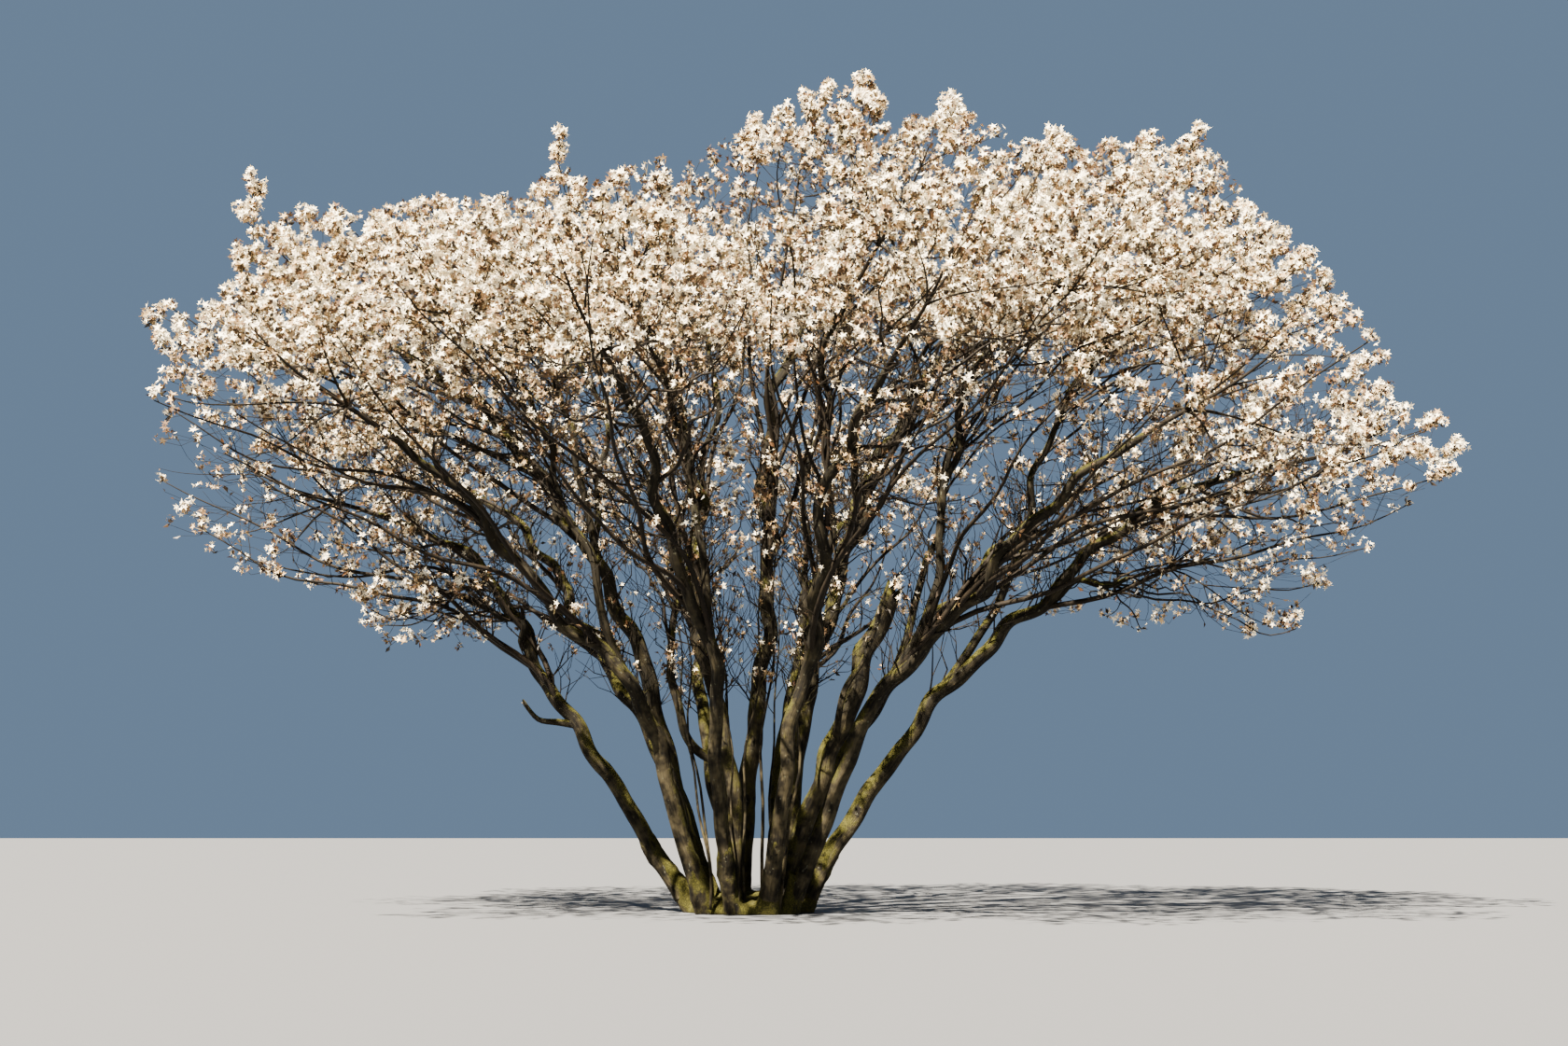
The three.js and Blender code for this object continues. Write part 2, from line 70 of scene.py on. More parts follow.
# bearing, out and up place the heart of a limb's mass, in degrees anticlockwise from east and in metres. foot
# is where the stem stands. A bough leaves its stem at the share `at` of the stem's length, and sets off at
# the bearing and climb that `sets` gives. least is how full of flowers a mass is right down to its underside.
STEMS = [
    dict(name="east", bearing=-2, out=3.68, up=2.96, radius=0.060, arch=0.7, foot=(-6, 0.33), boughs=[
        dict(name="east_low", at=0.62, bearing=-6, out=2.95, up=2.15, least=0.32),
        dict(name="east_high", at=0.42, bearing=7, out=3.13, up=4.12)]),
    dict(name="southeast", bearing=-36, out=3.3, up=2.95, radius=0.055, foot=(-38, 0.32), boughs=[
        dict(name="southeast_high", at=0.45, bearing=-32, out=2.45, up=3.85)]),
    dict(name="south_east", bearing=-70, out=2.75, up=3.25, radius=0.052, foot=(-70, 0.31), boughs=[
        dict(name="south_east_high", at=0.45, bearing=-62, out=1.85, up=4.05)]),
    dict(name="south_west", bearing=-108, out=2.7, up=3.2, radius=0.050, foot=(-106, 0.31), boughs=[
        dict(name="south_west_high", at=0.45, bearing=-116, out=1.8, up=3.62)]),
    dict(name="southwest", bearing=-144, out=3.05, up=3.0, radius=0.054, foot=(-142, 0.32), boughs=[
        dict(name="southwest_high", at=0.45, bearing=-150, out=2.3, up=3.64)]),
    dict(name="west", bearing=-178, out=2.96, up=3.98, radius=0.058, foot=(176, 0.19), boughs=[
        dict(name="west_high", at=0.5, bearing=-174, out=2.0, up=4.06)]),
    dict(name="west_low", bearing=175, out=2.98, up=2.76, radius=0.056, arch=0.7, lean=0.8, foot=(178, 0.34),
         boughs=[dict(name="west_skirt", at=0.6, bearing=-177, out=2.08, up=2.02, spread=0.82, depth=0.48,
                      least=0.55)]),
    dict(name="northwest", bearing=142, out=3.15, up=3.2, radius=0.054, foot=(146, 0.33), boughs=[
        dict(name="northwest_high", at=0.45, bearing=138, out=2.25, up=4.2)]),
    dict(name="north_west", bearing=108, out=3.0, up=3.3, radius=0.050, foot=(112, 0.32), boughs=[
        dict(name="north_west_high", at=0.45, bearing=104, out=1.85, up=4.45)]),
    dict(name="north_east", bearing=72, out=3.05, up=3.3, radius=0.050, foot=(72, 0.32), boughs=[
        dict(name="north_east_high", at=0.45, bearing=66, out=2.0, up=4.5)]),
    dict(name="northeast", bearing=36, out=3.4, up=3.15, radius=0.055, foot=(36, 0.33), boughs=[
        dict(name="northeast_high", at=0.45, bearing=31, out=2.6, up=4.35)]),
    dict(name="top_east", bearing=6, out=2.25, up=4.76, radius=0.062, arch=0.3, foot=(30, 0.15), boughs=[
        dict(name="inner_east", at=0.5, bearing=-20, out=1.25, up=3.45)]),
    dict(name="top", bearing=12, out=0.76, up=4.99, radius=0.060, arch=0.12, foot=(125, 0.15), boughs=[]),
    dict(name="top_west", bearing=-172, out=0.9, up=4.3, radius=0.056, arch=0.15, foot=(-125, 0.19), boughs=[
        dict(name="inner_west", at=0.25, bearing=-160, out=1.25, up=3.15, sets=(190, 10))]),
]


def seeded(seed):
    """One seeded stream of numbers from 0 to 1, the same as the solids are grown with."""
    state = seed

    def draw():
        nonlocal state
        state = (1664525 * state + 1013904223) % 2**32
        return state / 2**32

    return draw


def unit(vectors):
    """A vector, or each of many, at length one."""
    vectors = np.asarray(vectors, float)
    return vectors / np.maximum(np.linalg.norm(vectors, axis=-1, keepdims=True), 1e-12)


def polar(bearing, out, up=0.0):
    """A point at a bearing in degrees, a distance out and a height."""
    angle = np.radians(bearing)
    return np.array([out * np.cos(angle), out * np.sin(angle), up])


def heading(bearing, climb):
    """A direction at a bearing and a climb above the level, in degrees."""
    return polar(bearing, np.cos(np.radians(climb)), np.sin(np.radians(climb)))


def pulls_at(t):
    """How strongly each of a curve's four handles pulls at the shares t of its length."""
    return np.stack([(1 - t) ** 3, 3 * t * (1 - t) ** 2, 3 * t * t * (1 - t), t**3], axis=1)


def swelling(t, hold):
    """From 0 at both ends to 1 halfway: how far a sway or a crook is let out."""
    return np.maximum(np.sin(np.pi * t), 0) ** hold


class Limb:
    """A limb's curve with its sway, and its radius along it."""

    def __init__(self, name, kind, start, leaving, end, arriving, steps, wander, seed, girth):
        self.name, self.kind, self.steps, self.girth = name, kind, steps, girth
        self.length = np.linalg.norm(end - start)
        self.handles = np.array([start, start + PULLS[0] * self.length * leaving,
                                 end - PULLS[1] * self.length * arriving, end])
        along = unit(end - start)
        self.side = unit(np.cross(along, UP))
        self.rise = np.cross(self.side, along)
        self.wander = wander
        self.rooted = np.zeros(3)
        draw = seeded(seed)
        self.phases = [2 * np.pi * draw() for _ in WAVES]
        self.path = self.place(np.arange(steps + 1) / steps)
        self.radius = self.girth_at(np.arange(steps + 1) / steps)

    def place(self, t):
        """The points of the limb's middle line at the shares t of its length."""
        t = np.atleast_1d(np.asarray(t, float))
        held = self.wander * swelling(t, SWAY_HOLD)
        waves = [held * size * np.sin(turns * t + phase) for (turns, size), phase in zip(WAVES, self.phases)]
        return (pulls_at(t) @ self.handles + np.outer(waves[0] + waves[1], self.side)
                + np.outer(waves[2] + waves[3], self.rise))

    def line(self, t):
        """The same with the short crooks that its bark follows, and rooted where its stem's bark is."""
        t = np.atleast_1d(np.asarray(t, float))
        held = CROOK * self.length**0.5 * swelling(t, SWAY_HOLD) * np.minimum(1, CROOKS_BEGIN * t)
        turns = CROOKS * self.length
        ways = (self.side, self.rise, self.side, self.rise)
        bends = sum(np.outer(held / (1 + i // 2) * np.sin(turn * t + CROOKS_APART * self.phases[i]), way)
                    for i, (turn, way) in enumerate(zip(turns, ways)))
        return self.place(t) + bends + np.outer((1 - t) ** 2, self.rooted)

    def girth_at(self, t):
        """The limb's radius at the shares t of its length."""
        t = np.atleast_1d(np.asarray(t, float))
        return self.girth(t, self.place(t)[:, 2])


def stem_girth(base, tip, power):
    """A stem's radius: a taper from base to tip, widened by the flare at ground level."""
    def girth(t, height):
        flare = 1 + FLARE_GIRTH * np.exp(-np.maximum(height, 0) / FLARE_HEIGHT)
        return tip + (base - tip) * (1 - t) ** power * flare
    return girth


def bough_girth(base):
    """A bough's radius: a taper from its base to its tip."""
    return lambda t, height: BOUGH_TIP + (base - BOUGH_TIP) * (1 - t) ** BOUGH_TAPER


def nearest_step(at):
    """The point of a stem's path that lies nearest a share of its length."""
    return int(np.floor(at * STEM_STEPS + 0.5))


def buried_start(foot, leaving):
    """Where a stem is first drawn below ground, so that its middle passes through its foot."""
    return polar(*foot) - leaving * BURIED / leaving[2]


limbs = []
masses = []


def add_bearer(row, start, seed, **shape):
    """A limb that carries a mass of blossom and ends where it enters the mass's space."""
    heart = polar(row["bearing"], row["out"], row["up"])
    arriving = unit(RISE * unit(heart - start) + row.get("arch", ARCH) * polar(row["bearing"], 1))
    spread, depth = row.get("spread", SPREAD), row.get("depth", DEPTH)
    limb = Limb(start=start, end=heart - ENTRY * spread * arriving, arriving=arriving, seed=seed, **shape)
    limbs.append(limb)
    masses.append(dict(name=row["name"], limb=limb, heart=heart, onward=unit(limb.path[-1] - limb.path[-2]),
                       spread=spread, depth=depth, size=np.array([spread, spread, depth]),
                       least=row.get("least", 0.0), seed=7 * seed))
    return limb


for i, row in enumerate(STEMS):
    foot = polar(*row["foot"])
    to_heart = unit(polar(row["bearing"], row["out"], row["up"]) - foot)
    leaving = unit(UP + (to_heart - UP) * row.get("lean", LEAN_SHARE))
    stem = add_bearer(row, buried_start(row["foot"], leaving), STEM_SEEDS + i, name=f"stem_{row['name']}",
                      kind="stem", leaving=leaving, steps=STEM_STEPS, wander=WANDER["stem"],
                      girth=stem_girth(row["radius"], STEM_TIP, STEM_TAPER))
    for j, bough in enumerate(row["boughs"]):
        index = nearest_step(bough["at"])
        start = stem.path[index]
        onward = unit(stem.path[index + 1] - stem.path[index - 1])
        to_heart = unit(polar(bough["bearing"], bough["out"], bough["up"]) - start)
        leaving = unit(onward + (to_heart - onward) * TURN_SHARE)
        if "sets" in bough:
            leaving = heading(*bough["sets"])
        limb = add_bearer(bough, start, BOUGH_SEEDS + 10 * i + j, name=f"bough_{bough['name']}", kind="bough",
                          leaving=leaving, steps=BOUGH_STEPS, wander=WANDER["bough"],
                          girth=bough_girth(BOUGH_SHARE * stem.radius[index]))
        limb.rooted = (stem.line(index / STEM_STEPS) - start)[0]


def frames_along(paths):
    """For many paths, two directions square to the path at each point, turning as little as may be."""
    tangents = unit(np.gradient(paths, axis=1))
    first = tangents[:, 0]
    normal = np.cross(first, np.where(np.abs(first[:, :1]) < 0.7, [[1.0, 0, 0]], [[0, 1.0, 0]]))
    normals = np.empty_like(paths)
    for i in range(paths.shape[1]):
        here = tangents[:, i]
        normal = unit(normal - (normal * here).sum(axis=1, keepdims=True) * here)
        normals[:, i] = normal
    return normals, np.cross(tangents, normals)


def between_rings(index):
    """The four-cornered faces between neighbouring rings of vertices, given by their numbers."""
    low, high = index[..., :-1, :], index[..., 1:, :]
    corners = [low, np.roll(low, -1, axis=-1), np.roll(high, -1, axis=-1), high]
    return np.stack(corners, axis=-1).reshape(-1, 4)


def tubes(paths, radii):
    """The vertices and faces of tubes along many paths. radii gives each vertex's distance from its path."""
    sides = radii.shape[2]
    normals, binormals = frames_along(paths)
    angle = 2 * np.pi * np.arange(sides)[:, None] / sides
    spokes = np.cos(angle) * normals[:, :, None] + np.sin(angle) * binormals[:, :, None]
    vertices = paths[:, :, None] + radii[..., None] * spokes
    many, rings = paths.shape[:2]
    index = np.arange(many * rings * sides).reshape(many, rings, sides)
    return vertices.reshape(-1, 3), between_rings(index), index


def add_piece(name, vertices, faces, materials, looks=0, smooth=True, **marks):
    """One mesh piece from its vertices and its lists of faces. A mark gives each vertex a vector."""
    mesh = bpy.data.meshes.new(name)
    mesh.vertices.add(len(vertices))
    mesh.vertices.foreach_set("co", np.ascontiguousarray(vertices, np.float32).ravel())
    corners = np.concatenate([block.ravel() for block in faces])
    sizes = np.concatenate([np.full(len(block), block.shape[1]) for block in faces])
    mesh.loops.add(len(corners))
    mesh.loops.foreach_set("vertex_index", corners.astype(np.int32))
    mesh.polygons.add(len(sizes))
    mesh.polygons.foreach_set("loop_start", (np.cumsum(sizes) - sizes).astype(np.int32))
    mesh.polygons.foreach_set("material_index", np.broadcast_to(looks, len(sizes)).astype(np.int32))
    mesh.polygons.foreach_set("use_smooth", np.full(len(sizes), smooth))
    for mark, values in marks.items():
        attribute = mesh.attributes.new(mark, "FLOAT_VECTOR", "POINT")
        attribute.data.foreach_set("vector", np.ascontiguousarray(values, np.float32).ravel())
    mesh.update(calc_edges=True)
    for material in materials:
        mesh.materials.append(material)
    piece = bpy.data.objects.new(name, mesh)
    bpy.context.scene.collection.objects.link(piece)
    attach(piece, "root")
    return piece


class Value:
    """A number that a node gives over a surface. Sums with it add Math nodes."""

    def __init__(self, paint, socket):
        self.paint, self.socket = paint, socket

    def math(self, operation, first, second):
        """Two numbers put together by one Math node."""
        return self.paint.node("ShaderNodeMath", {"operation": operation}, {0: first, 1: second})

    def __add__(self, other):
        return self.math("ADD", self, other)

    def __sub__(self, other):
        return self.math("SUBTRACT", self, other)

    def __rsub__(self, other):
        return self.math("SUBTRACT", other, self)

    def __mul__(self, other):
        return self.math("MULTIPLY", self, other)

    __radd__ = __add__
    __rmul__ = __mul__


class Paint:
    """A material and the nodes that colour it."""

    def __init__(self, name, **constants):
        self.material = bpy.data.materials.new(name)
        self.material.use_nodes = True
        self.tree = self.material.node_tree
        self.shader = self.tree.nodes["Principled BSDF"]
        for socket, value in constants.items():
            self.shader.inputs[socket.replace("_", " ")].default_value = value

    def node(self, kind, settings, values, output=0):
        """Any node: its type, its settings, which are set first, and the values or links of its sockets."""
        made = self.tree.nodes.new(kind)
        for setting, value in settings.items():
            setattr(made, setting, value)
        for socket, value in values.items():
            self.feed(made.inputs[socket], value)
        return Value(self, made.outputs[output])

    def feed(self, socket, value):
        """Gives a socket a plain value, or a link from another node."""
        if isinstance(value, Value):
            self.tree.links.new(value.socket, socket)
        else:
            socket.default_value = value

    def mix(self, share, first, second):
        """The first colour where the share is 0, and the second where it is 1."""
        return self.node("ShaderNodeMix", {"data_type": "RGBA"}, {0: share, 6: first, 7: second}, output=2)

    def stretched(self, place, sizes):
        """A place scaled along each axis, so that what is drawn there runs along or across the wood."""
        return self.node("ShaderNodeVectorMath", {"operation": "MULTIPLY"}, {0: place, 1: sizes})

    def place(self):
        """Where a point of the surface is."""
        return self.node("ShaderNodeNewGeometry", {}, {}, output="Position")

    def upward_part(self, vector):
        """How far a vector reaches upwards."""
        return self.node("ShaderNodeSeparateXYZ", {}, {0: vector}, output="Z")

    def noise(self, place, scale, detail=4.0, roughness=0.6):
        """Soft patches, finer for a larger scale."""
        return self.node("ShaderNodeTexNoise", {}, {"Vector": place, "Scale": scale, "Detail": detail,
                                                    "Roughness": roughness})

    def rising(self, value, low, high):
        """From 0 where the value is low to 1 where it is high."""
        return self.node("ShaderNodeMapRange", {"interpolation_type": "SMOOTHSTEP"},
                         {"Value": value, "From Min": low, "From Max": high})

    def surface(self, colour, roughness, bump, strength, distance):
        """Joins the colour, the roughness and the relief to the shader."""
        self.feed(self.shader.inputs["Base Color"], colour)
        self.feed(self.shader.inputs["Roughness"], roughness)
        raised = self.node("ShaderNodeBump", {}, {"Strength": strength, "Distance": distance, "Height": bump})
        self.feed(self.shader.inputs["Normal"], raised)


GREY_BARK = (0.0100, 0.0080, 0.0040, 1)
# The darkest bark is painted shade for the cracks between the raised streaks.
CRACK_SHADE_BARK = (0.0016, 0.0013, 0.0008, 1)
PALE_BARK = (0.066, 0.054, 0.029, 1)
MOSS = (0.016, 0.0165, 0.0028, 1)
PALE_MOSS = (0.075, 0.070, 0.011, 1)
LICHEN = (0.070, 0.070, 0.046, 1)
MOSS_HEIGHT = (0.3, 2.6)  # moss is thickest at the ground and thins out up to here


def bark_paint(name, moss_share):
    """Grey-brown bark with cracks along the grain and painted shade in its low streaks; moss near the ground,
    and on its upper side partly as a painted highlight.
    """
    paint = Paint(name, Specular_IOR_Level=0.12)
    grain = paint.node("ShaderNodeAttribute", {"attribute_name": "grain"}, {}, output="Vector")
    streaks = paint.noise(paint.stretched(grain, (1, 1, 0.13)), scale=75.0, detail=5.0, roughness=0.65)
    cracks = paint.noise(paint.stretched(grain, (1, 1, 0.07)), scale=160.0, detail=3.0, roughness=0.5)
    patches = paint.noise(grain, scale=7.0, detail=3.0)
    # Where the streaks, which also raise the relief, are low, the bark is darkest: painted shade in its
    # cracks.
    colour = paint.mix(paint.rising(streaks, 0.36, 0.62), CRACK_SHADE_BARK, GREY_BARK)
    low = 1 - paint.rising(paint.upward_part(paint.place()), *MOSS_HEIGHT)
    weathered = paint.rising(patches + low * 0.10, 0.50, 0.72) * (0.35 + low * 0.85) * streaks
    colour = paint.mix(weathered, colour, PALE_BARK)
    spots = paint.noise(grain, scale=45.0, detail=2.0)
    colour = paint.mix(paint.rising(spots, 0.66, 0.72) * 0.75, colour, LICHEN)
    # Moss also takes the upward-facing side of the wood: partly real moss, partly a painted highlight on the
    # side that the key light reaches.
    upward = paint.upward_part(paint.node("ShaderNodeNewGeometry", {}, {}, output="Normal"))
    damp_and_lit_top = patches * 0.9 + upward * 0.38 + low * 0.12 + streaks * 0.35
    mossy = paint.rising(damp_and_lit_top, 0.86 - moss_share, 1.02 - moss_share)
    tufts = paint.noise(grain, scale=140.0, detail=4.0, roughness=0.7)
    moss = paint.mix(paint.rising(tufts, 0.4, 0.7), MOSS, PALE_MOSS)
    colour = paint.mix(mossy * 0.85, colour, moss)
    relief = streaks * 0.6 + cracks * 0.4 + mossy * tufts * 0.9
    paint.surface(colour, roughness=0.82 + mossy * 0.14, bump=relief, strength=0.9, distance=0.006)
    return paint.material


bark = bark_paint("grey_bark", moss_share=0.14)
BARK_SIDES = {"stem": 18, "bough": 13}
BARK_SEEDS = 500
RING_GAP = 0.030  # between two rings of a bark mesh
TURN = 6.3  # a whole turn, near enough for a drawn phase
FLUTES = ((2, 0.045), (3, 0.050), (5, 0.030), (7, 0.022))  # ridges round a limb and their share of its radius
FLUTE_WINDING = 1.3  # how far round they may wind in a metre
FLUTE_SWAY = (0.6, 2.1)  # how far they sway from that, and how fast
FLUTE_SWELL = (0.5, (2, 5))  # how much they come and go, and how fast
LUMP = 0.10
LUMP_GRAINS = ((1.6, 4.5), (5, 12))  # how fine the coarse and the fine lumps are round a limb and along it
KNOTS_PER_METRE = 1.6
KNOT_REACH = (0.9, 0.5)  # along the limb, in radii, and round it
KNOT_RISE = (0.10, 0.28)
SMOOTH_END = 0.15  # the relief dies out this far before the tip, where the first twig takes over
COLLAR = 0.45  # how much wider a bough is where it leaves its stem
COLLAR_REACH = 0.07


def bark_relief(rng, along, angle, radius):
    """How far the bark stands out at each ring and side: ridges that wind slowly, lumps and old knots."""
    relief = np.zeros((len(along), len(angle)))
    for ridges, share in FLUTES:
        winding = rng.uniform(-FLUTE_WINDING, FLUTE_WINDING) * along + rng.uniform(0, TURN)
        winding += FLUTE_SWAY[0] * np.sin(FLUTE_SWAY[1] * along + rng.uniform(0, TURN))
        swell = 1 + FLUTE_SWELL[0] * np.sin(rng.uniform(*FLUTE_SWELL[1]) * along + rng.uniform(0, TURN))
        relief += share * (swell * radius)[:, None] * np.cos(ridges * angle[None] + winding[:, None])
    shift = Vector(rng.uniform(-50, 50, 3))
    for i, (s, r) in enumerate(zip(along, radius)):
        for j, a in enumerate(angle):
            coarse, fine = (noise.noise(Vector((wide * np.cos(a), wide * np.sin(a), long * s)) + shift)
                            for wide, long in LUMP_GRAINS)
            relief[i, j] += r * (LUMP * coarse + 0.5 * LUMP * fine)
    for _ in range(int(KNOTS_PER_METRE * along[-1])):
        s, a = rng.uniform(0, along[-1]), rng.uniform(0, 2 * np.pi)
        r = np.interp(s, along, radius)
        turn = (angle - a + np.pi) % (2 * np.pi) - np.pi
        spread = ((along[:, None] - s) / (KNOT_REACH[0] * r)) ** 2 + (turn[None] / KNOT_REACH[1]) ** 2
        relief += rng.uniform(*KNOT_RISE) * r * np.exp(-spread)
    return relief


def bark_tube(limb, sides, first, last, seed, girth=None):
    """The bark of a limb between two shares of its length, and the place of each vertex along its grain."""
    rings = max(4, int(np.ceil(limb.length * (last - first) / RING_GAP)))
    t = np.linspace(first, last, rings + 1)
    path = limb.line(t)
    radius = limb.girth_at(t) if girth is None else girth(t, path[:, 2])
    along = np.concatenate([[0], np.cumsum(np.linalg.norm(np.diff(path, axis=0), axis=1))])
    angle = 2 * np.pi * np.arange(sides) / sides
    relief = bark_relief(np.random.default_rng(seed), along, angle, radius)
    ends = np.minimum(1, (along[-1] - along) / SMOOTH_END)[:, None]
    radii = radius[:, None] + relief * ends
    vertices, quads, index = tubes(path[None], radii[None])
    grain = np.broadcast_arrays(radii * np.cos(angle), radii * np.sin(angle), along[:, None])
    return vertices, quads, index[0], np.stack(grain, axis=-1).reshape(-1, 3)


def fan(ring, middle):
    """The three-cornered faces from a ring of vertices to a middle one."""
    return np.stack([ring, np.roll(ring, -1), np.full(len(ring), middle)], axis=1)


def capped(vertices, index, grain):
    """The same with a middle point added, and the faces from it to the last ring."""
    ring = index[-1]
    vertices = np.vstack([vertices, vertices[ring].mean(axis=0)])
    grain = np.vstack([grain, grain[ring].mean(axis=0)])
    return vertices, fan(ring, len(vertices) - 1), grain


def collared(limb):
    """A bough's radius with the collar where it grows out of its stem."""
    return lambda t, height: limb.girth(t, height) * (1 + COLLAR * np.exp(-t * limb.length / COLLAR_REACH))


PARTING = 0.10  # a stem's bark starts at this height, inside the root crown


def share_at_height(limb, height, tries=200):
    """How far along a stem, as a share of its length, it first stands above a height."""
    t = np.linspace(0, 0.3, tries)
    return t[np.argmax(limb.place(t)[:, 2] > height)]


for number, limb in enumerate(limbs):
    sides = BARK_SIDES[limb.kind]
    if limb.kind == "stem":
        tube = bark_tube(limb, sides, share_at_height(limb, PARTING), 1, BARK_SEEDS + number)
    else:
        tube = bark_tube(limb, sides, 0, 1, BARK_SEEDS + number, collared(limb))
    vertices, quads, index, grain = tube
    vertices, cap, grain = capped(vertices, index, grain)
    piece = add_piece(f"bark_{limb.name}", vertices, [quads, cap], [bark], grain=grain)
    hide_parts(limb.name)

# The root crown: the feet of all the stems have grown together at the ground into one low, ribbed burl, thick
# with moss. One stem on the near side was sawn off at knee height, and its grey cut face still shows.
BURL_RADIUS = 0.39
BURL_HEIGHT = 0.13
CROWN_HEIGHT = 0.47  # the feet are part of the crown up to here, where they slip inside the stems' own bark
CROWN_GIRTH = (1.08, 0.90)  # a foot's radius at the ground and at that height, as shares of its stem's
BURL_CORE = 0.9  # how wide the burl is without its ribs
BURL_RIBS = ((0.10, 5, 0.7), (0.07, 9, 2.1))  # how far they stand out, how many and where they start
BURL_RINGS, BURL_SIDES = 13, 48
FOOT_SIDES = 20
STUMP = dict(bearing=-46, out=0.355, height=0.29, lean=0.03, base=0.038, top=0.027)
STUMP_FLARE = (0.5, 0.07)  # how much wider it is at the ground, and up to where
STUMP_RINGS, STUMP_SIDES = 14, 16
CROWN_SEED = 31
CROWN_VOXEL = 0.016
CROWN_SMOOTHING = 3
CROWN_LUMPS = ((4.5, 0.026), (9.0, 0.014), (26.0, 0.006), (60.0, 0.0025))  # how fine, how far they stand out
CROWN_GRAIN = 0.45  # how much longer its lumps are upwards
DEAD_STEM = dict(foot=(-15, 0.19), end=(-4, 0.91, 2.01), radius=0.066, tip=0.054, seed=401)


def dead_stem_limb(foot, end, radius, tip, seed):
    """The stem that broke off above head height."""
    end = polar(*end)
    leaving = unit(UP + (unit(end - polar(*foot)) - UP) * LEAN_SHARE)
    start = buried_start(foot, leaving)
    return Limb("dead_stem", "stem", start, leaving, end, unit(end - start), steps=6, wander=0.014, seed=seed,
                girth=stem_girth(radius, tip, 1))


dead_stem = dead_stem_limb(**DEAD_STEM)


def mesh_object(vertices, faces):
    """A mesh object for a tool to work on."""
    mesh = bpy.data.meshes.new("work")
    mesh.from_pydata([tuple(v) for v in vertices], [], [tuple(map(int, f)) for block in faces for f in block])
    made = bpy.data.objects.new("work", mesh)
    bpy.context.scene.collection.objects.link(made)
    return made


def crown_parts():
    """The overlapping solids that the root crown grows together from, as vertices and faces."""
    rng = np.random.default_rng(CROWN_SEED)
    parts = []
    for limb in [limb for limb in limbs if limb.kind == "stem"] + [dead_stem]:
        last = share_at_height(limb, CROWN_HEIGHT, 300)
        girth = lambda t, height, limb=limb: (limb.girth(t, height)
                                              * np.interp(height, [0, CROWN_HEIGHT], CROWN_GIRTH))
        vertices, quads, index, _ = bark_tube(limb, FOOT_SIDES, 0, last, int(rng.integers(1000)), girth)
        parts.append((vertices, [quads, index[0][::-1][None], index[-1][None]]))
    rise = np.linspace(-BURIED, STUMP["height"], STUMP_RINGS)
    lean = np.maximum(rise, 0)[:, None] / STUMP["height"] * STUMP["lean"] * polar(STUMP["bearing"], 1)
    path = polar(STUMP["bearing"], STUMP["out"]) + rise[:, None] * UP + lean
    radius = np.interp(rise, [0, STUMP["height"]], [STUMP["base"], STUMP["top"]])
    radius = radius * (1 + STUMP_FLARE[0] * np.exp(-rise / STUMP_FLARE[1]))
    vertices, quads, index = tubes(path[None], np.repeat(radius[None, :, None], STUMP_SIDES, axis=2))
    parts.append((vertices, [quads, index[0][0][::-1][None], index[0][-1][None]]))
    bearing, up = np.meshgrid(np.linspace(0, 2 * np.pi, BURL_SIDES, endpoint=False),
                              np.linspace(-0.5, 0.5, BURL_RINGS) * np.pi)
    swell = 1
    for size, ribs, start in BURL_RIBS:
        swell = swell + size * np.cos(ribs * bearing + start)
    out = BURL_RADIUS * BURL_CORE * swell * np.cos(up)
    vertices = np.stack([out * np.cos(bearing), out * np.sin(bearing), BURL_HEIGHT * np.sin(up)], axis=-1)
    index = np.arange(BURL_RINGS * BURL_SIDES).reshape(BURL_RINGS, BURL_SIDES)
    parts.append((vertices.reshape(-1, 3), [between_rings(index)]))
    return parts


def remeshed(parts, voxel):
    """The parts grown together into one skin."""
    shift, vertices, faces = 0, [], []
    for block, lists in parts:
        vertices.append(block)
        faces += [[face + shift for face in faces_of] for faces_of in lists]
        shift += len(block)
    work = mesh_object(np.vstack(vertices), faces)
    remesh = work.modifiers.new("grown together", "REMESH")
    remesh.mode, remesh.voxel_size = "VOXEL", voxel
    mesh = bpy.data.meshes.new_from_object(work.evaluated_get(bpy.context.evaluated_depsgraph_get()))
    bpy.data.objects.remove(work)
    return mesh


def root_crown():
    """The root crown's mesh, cut flat at the ground."""
    body = bmesh.new()
    body.from_mesh(remeshed(crown_parts(), CROWN_VOXEL))
    for _ in range(CROWN_SMOOTHING):
        bmesh.ops.smooth_vert(body, verts=body.verts, factor=0.5,
                              use_axis_x=True, use_axis_y=True, use_axis_z=True)
    body.normal_update()
    for vertex in body.verts:
        stands_out = 0.0
        for fineness, size in CROWN_LUMPS:
            stands_out += size * noise.noise(Vector((fineness, fineness, CROWN_GRAIN * fineness)) * vertex.co)
        vertex.co += vertex.normal * stands_out
    everything = [*body.verts, *body.edges, *body.faces]
    bmesh.ops.bisect_plane(body, geom=everything, plane_co=(0, 0, 0), plane_no=(0, 0, -1), clear_outer=True)
    bmesh.ops.holes_fill(body, edges=[edge for edge in body.edges if edge.is_boundary], sides=0)
    return body


SAW_CUT = dict(looks=(0.25, -0.35, 0.9), below=0.035)  # which way, and how far below the stump's top it is
SAW_REACH = (0.10, 0.16)  # it takes what lies this near and above this height


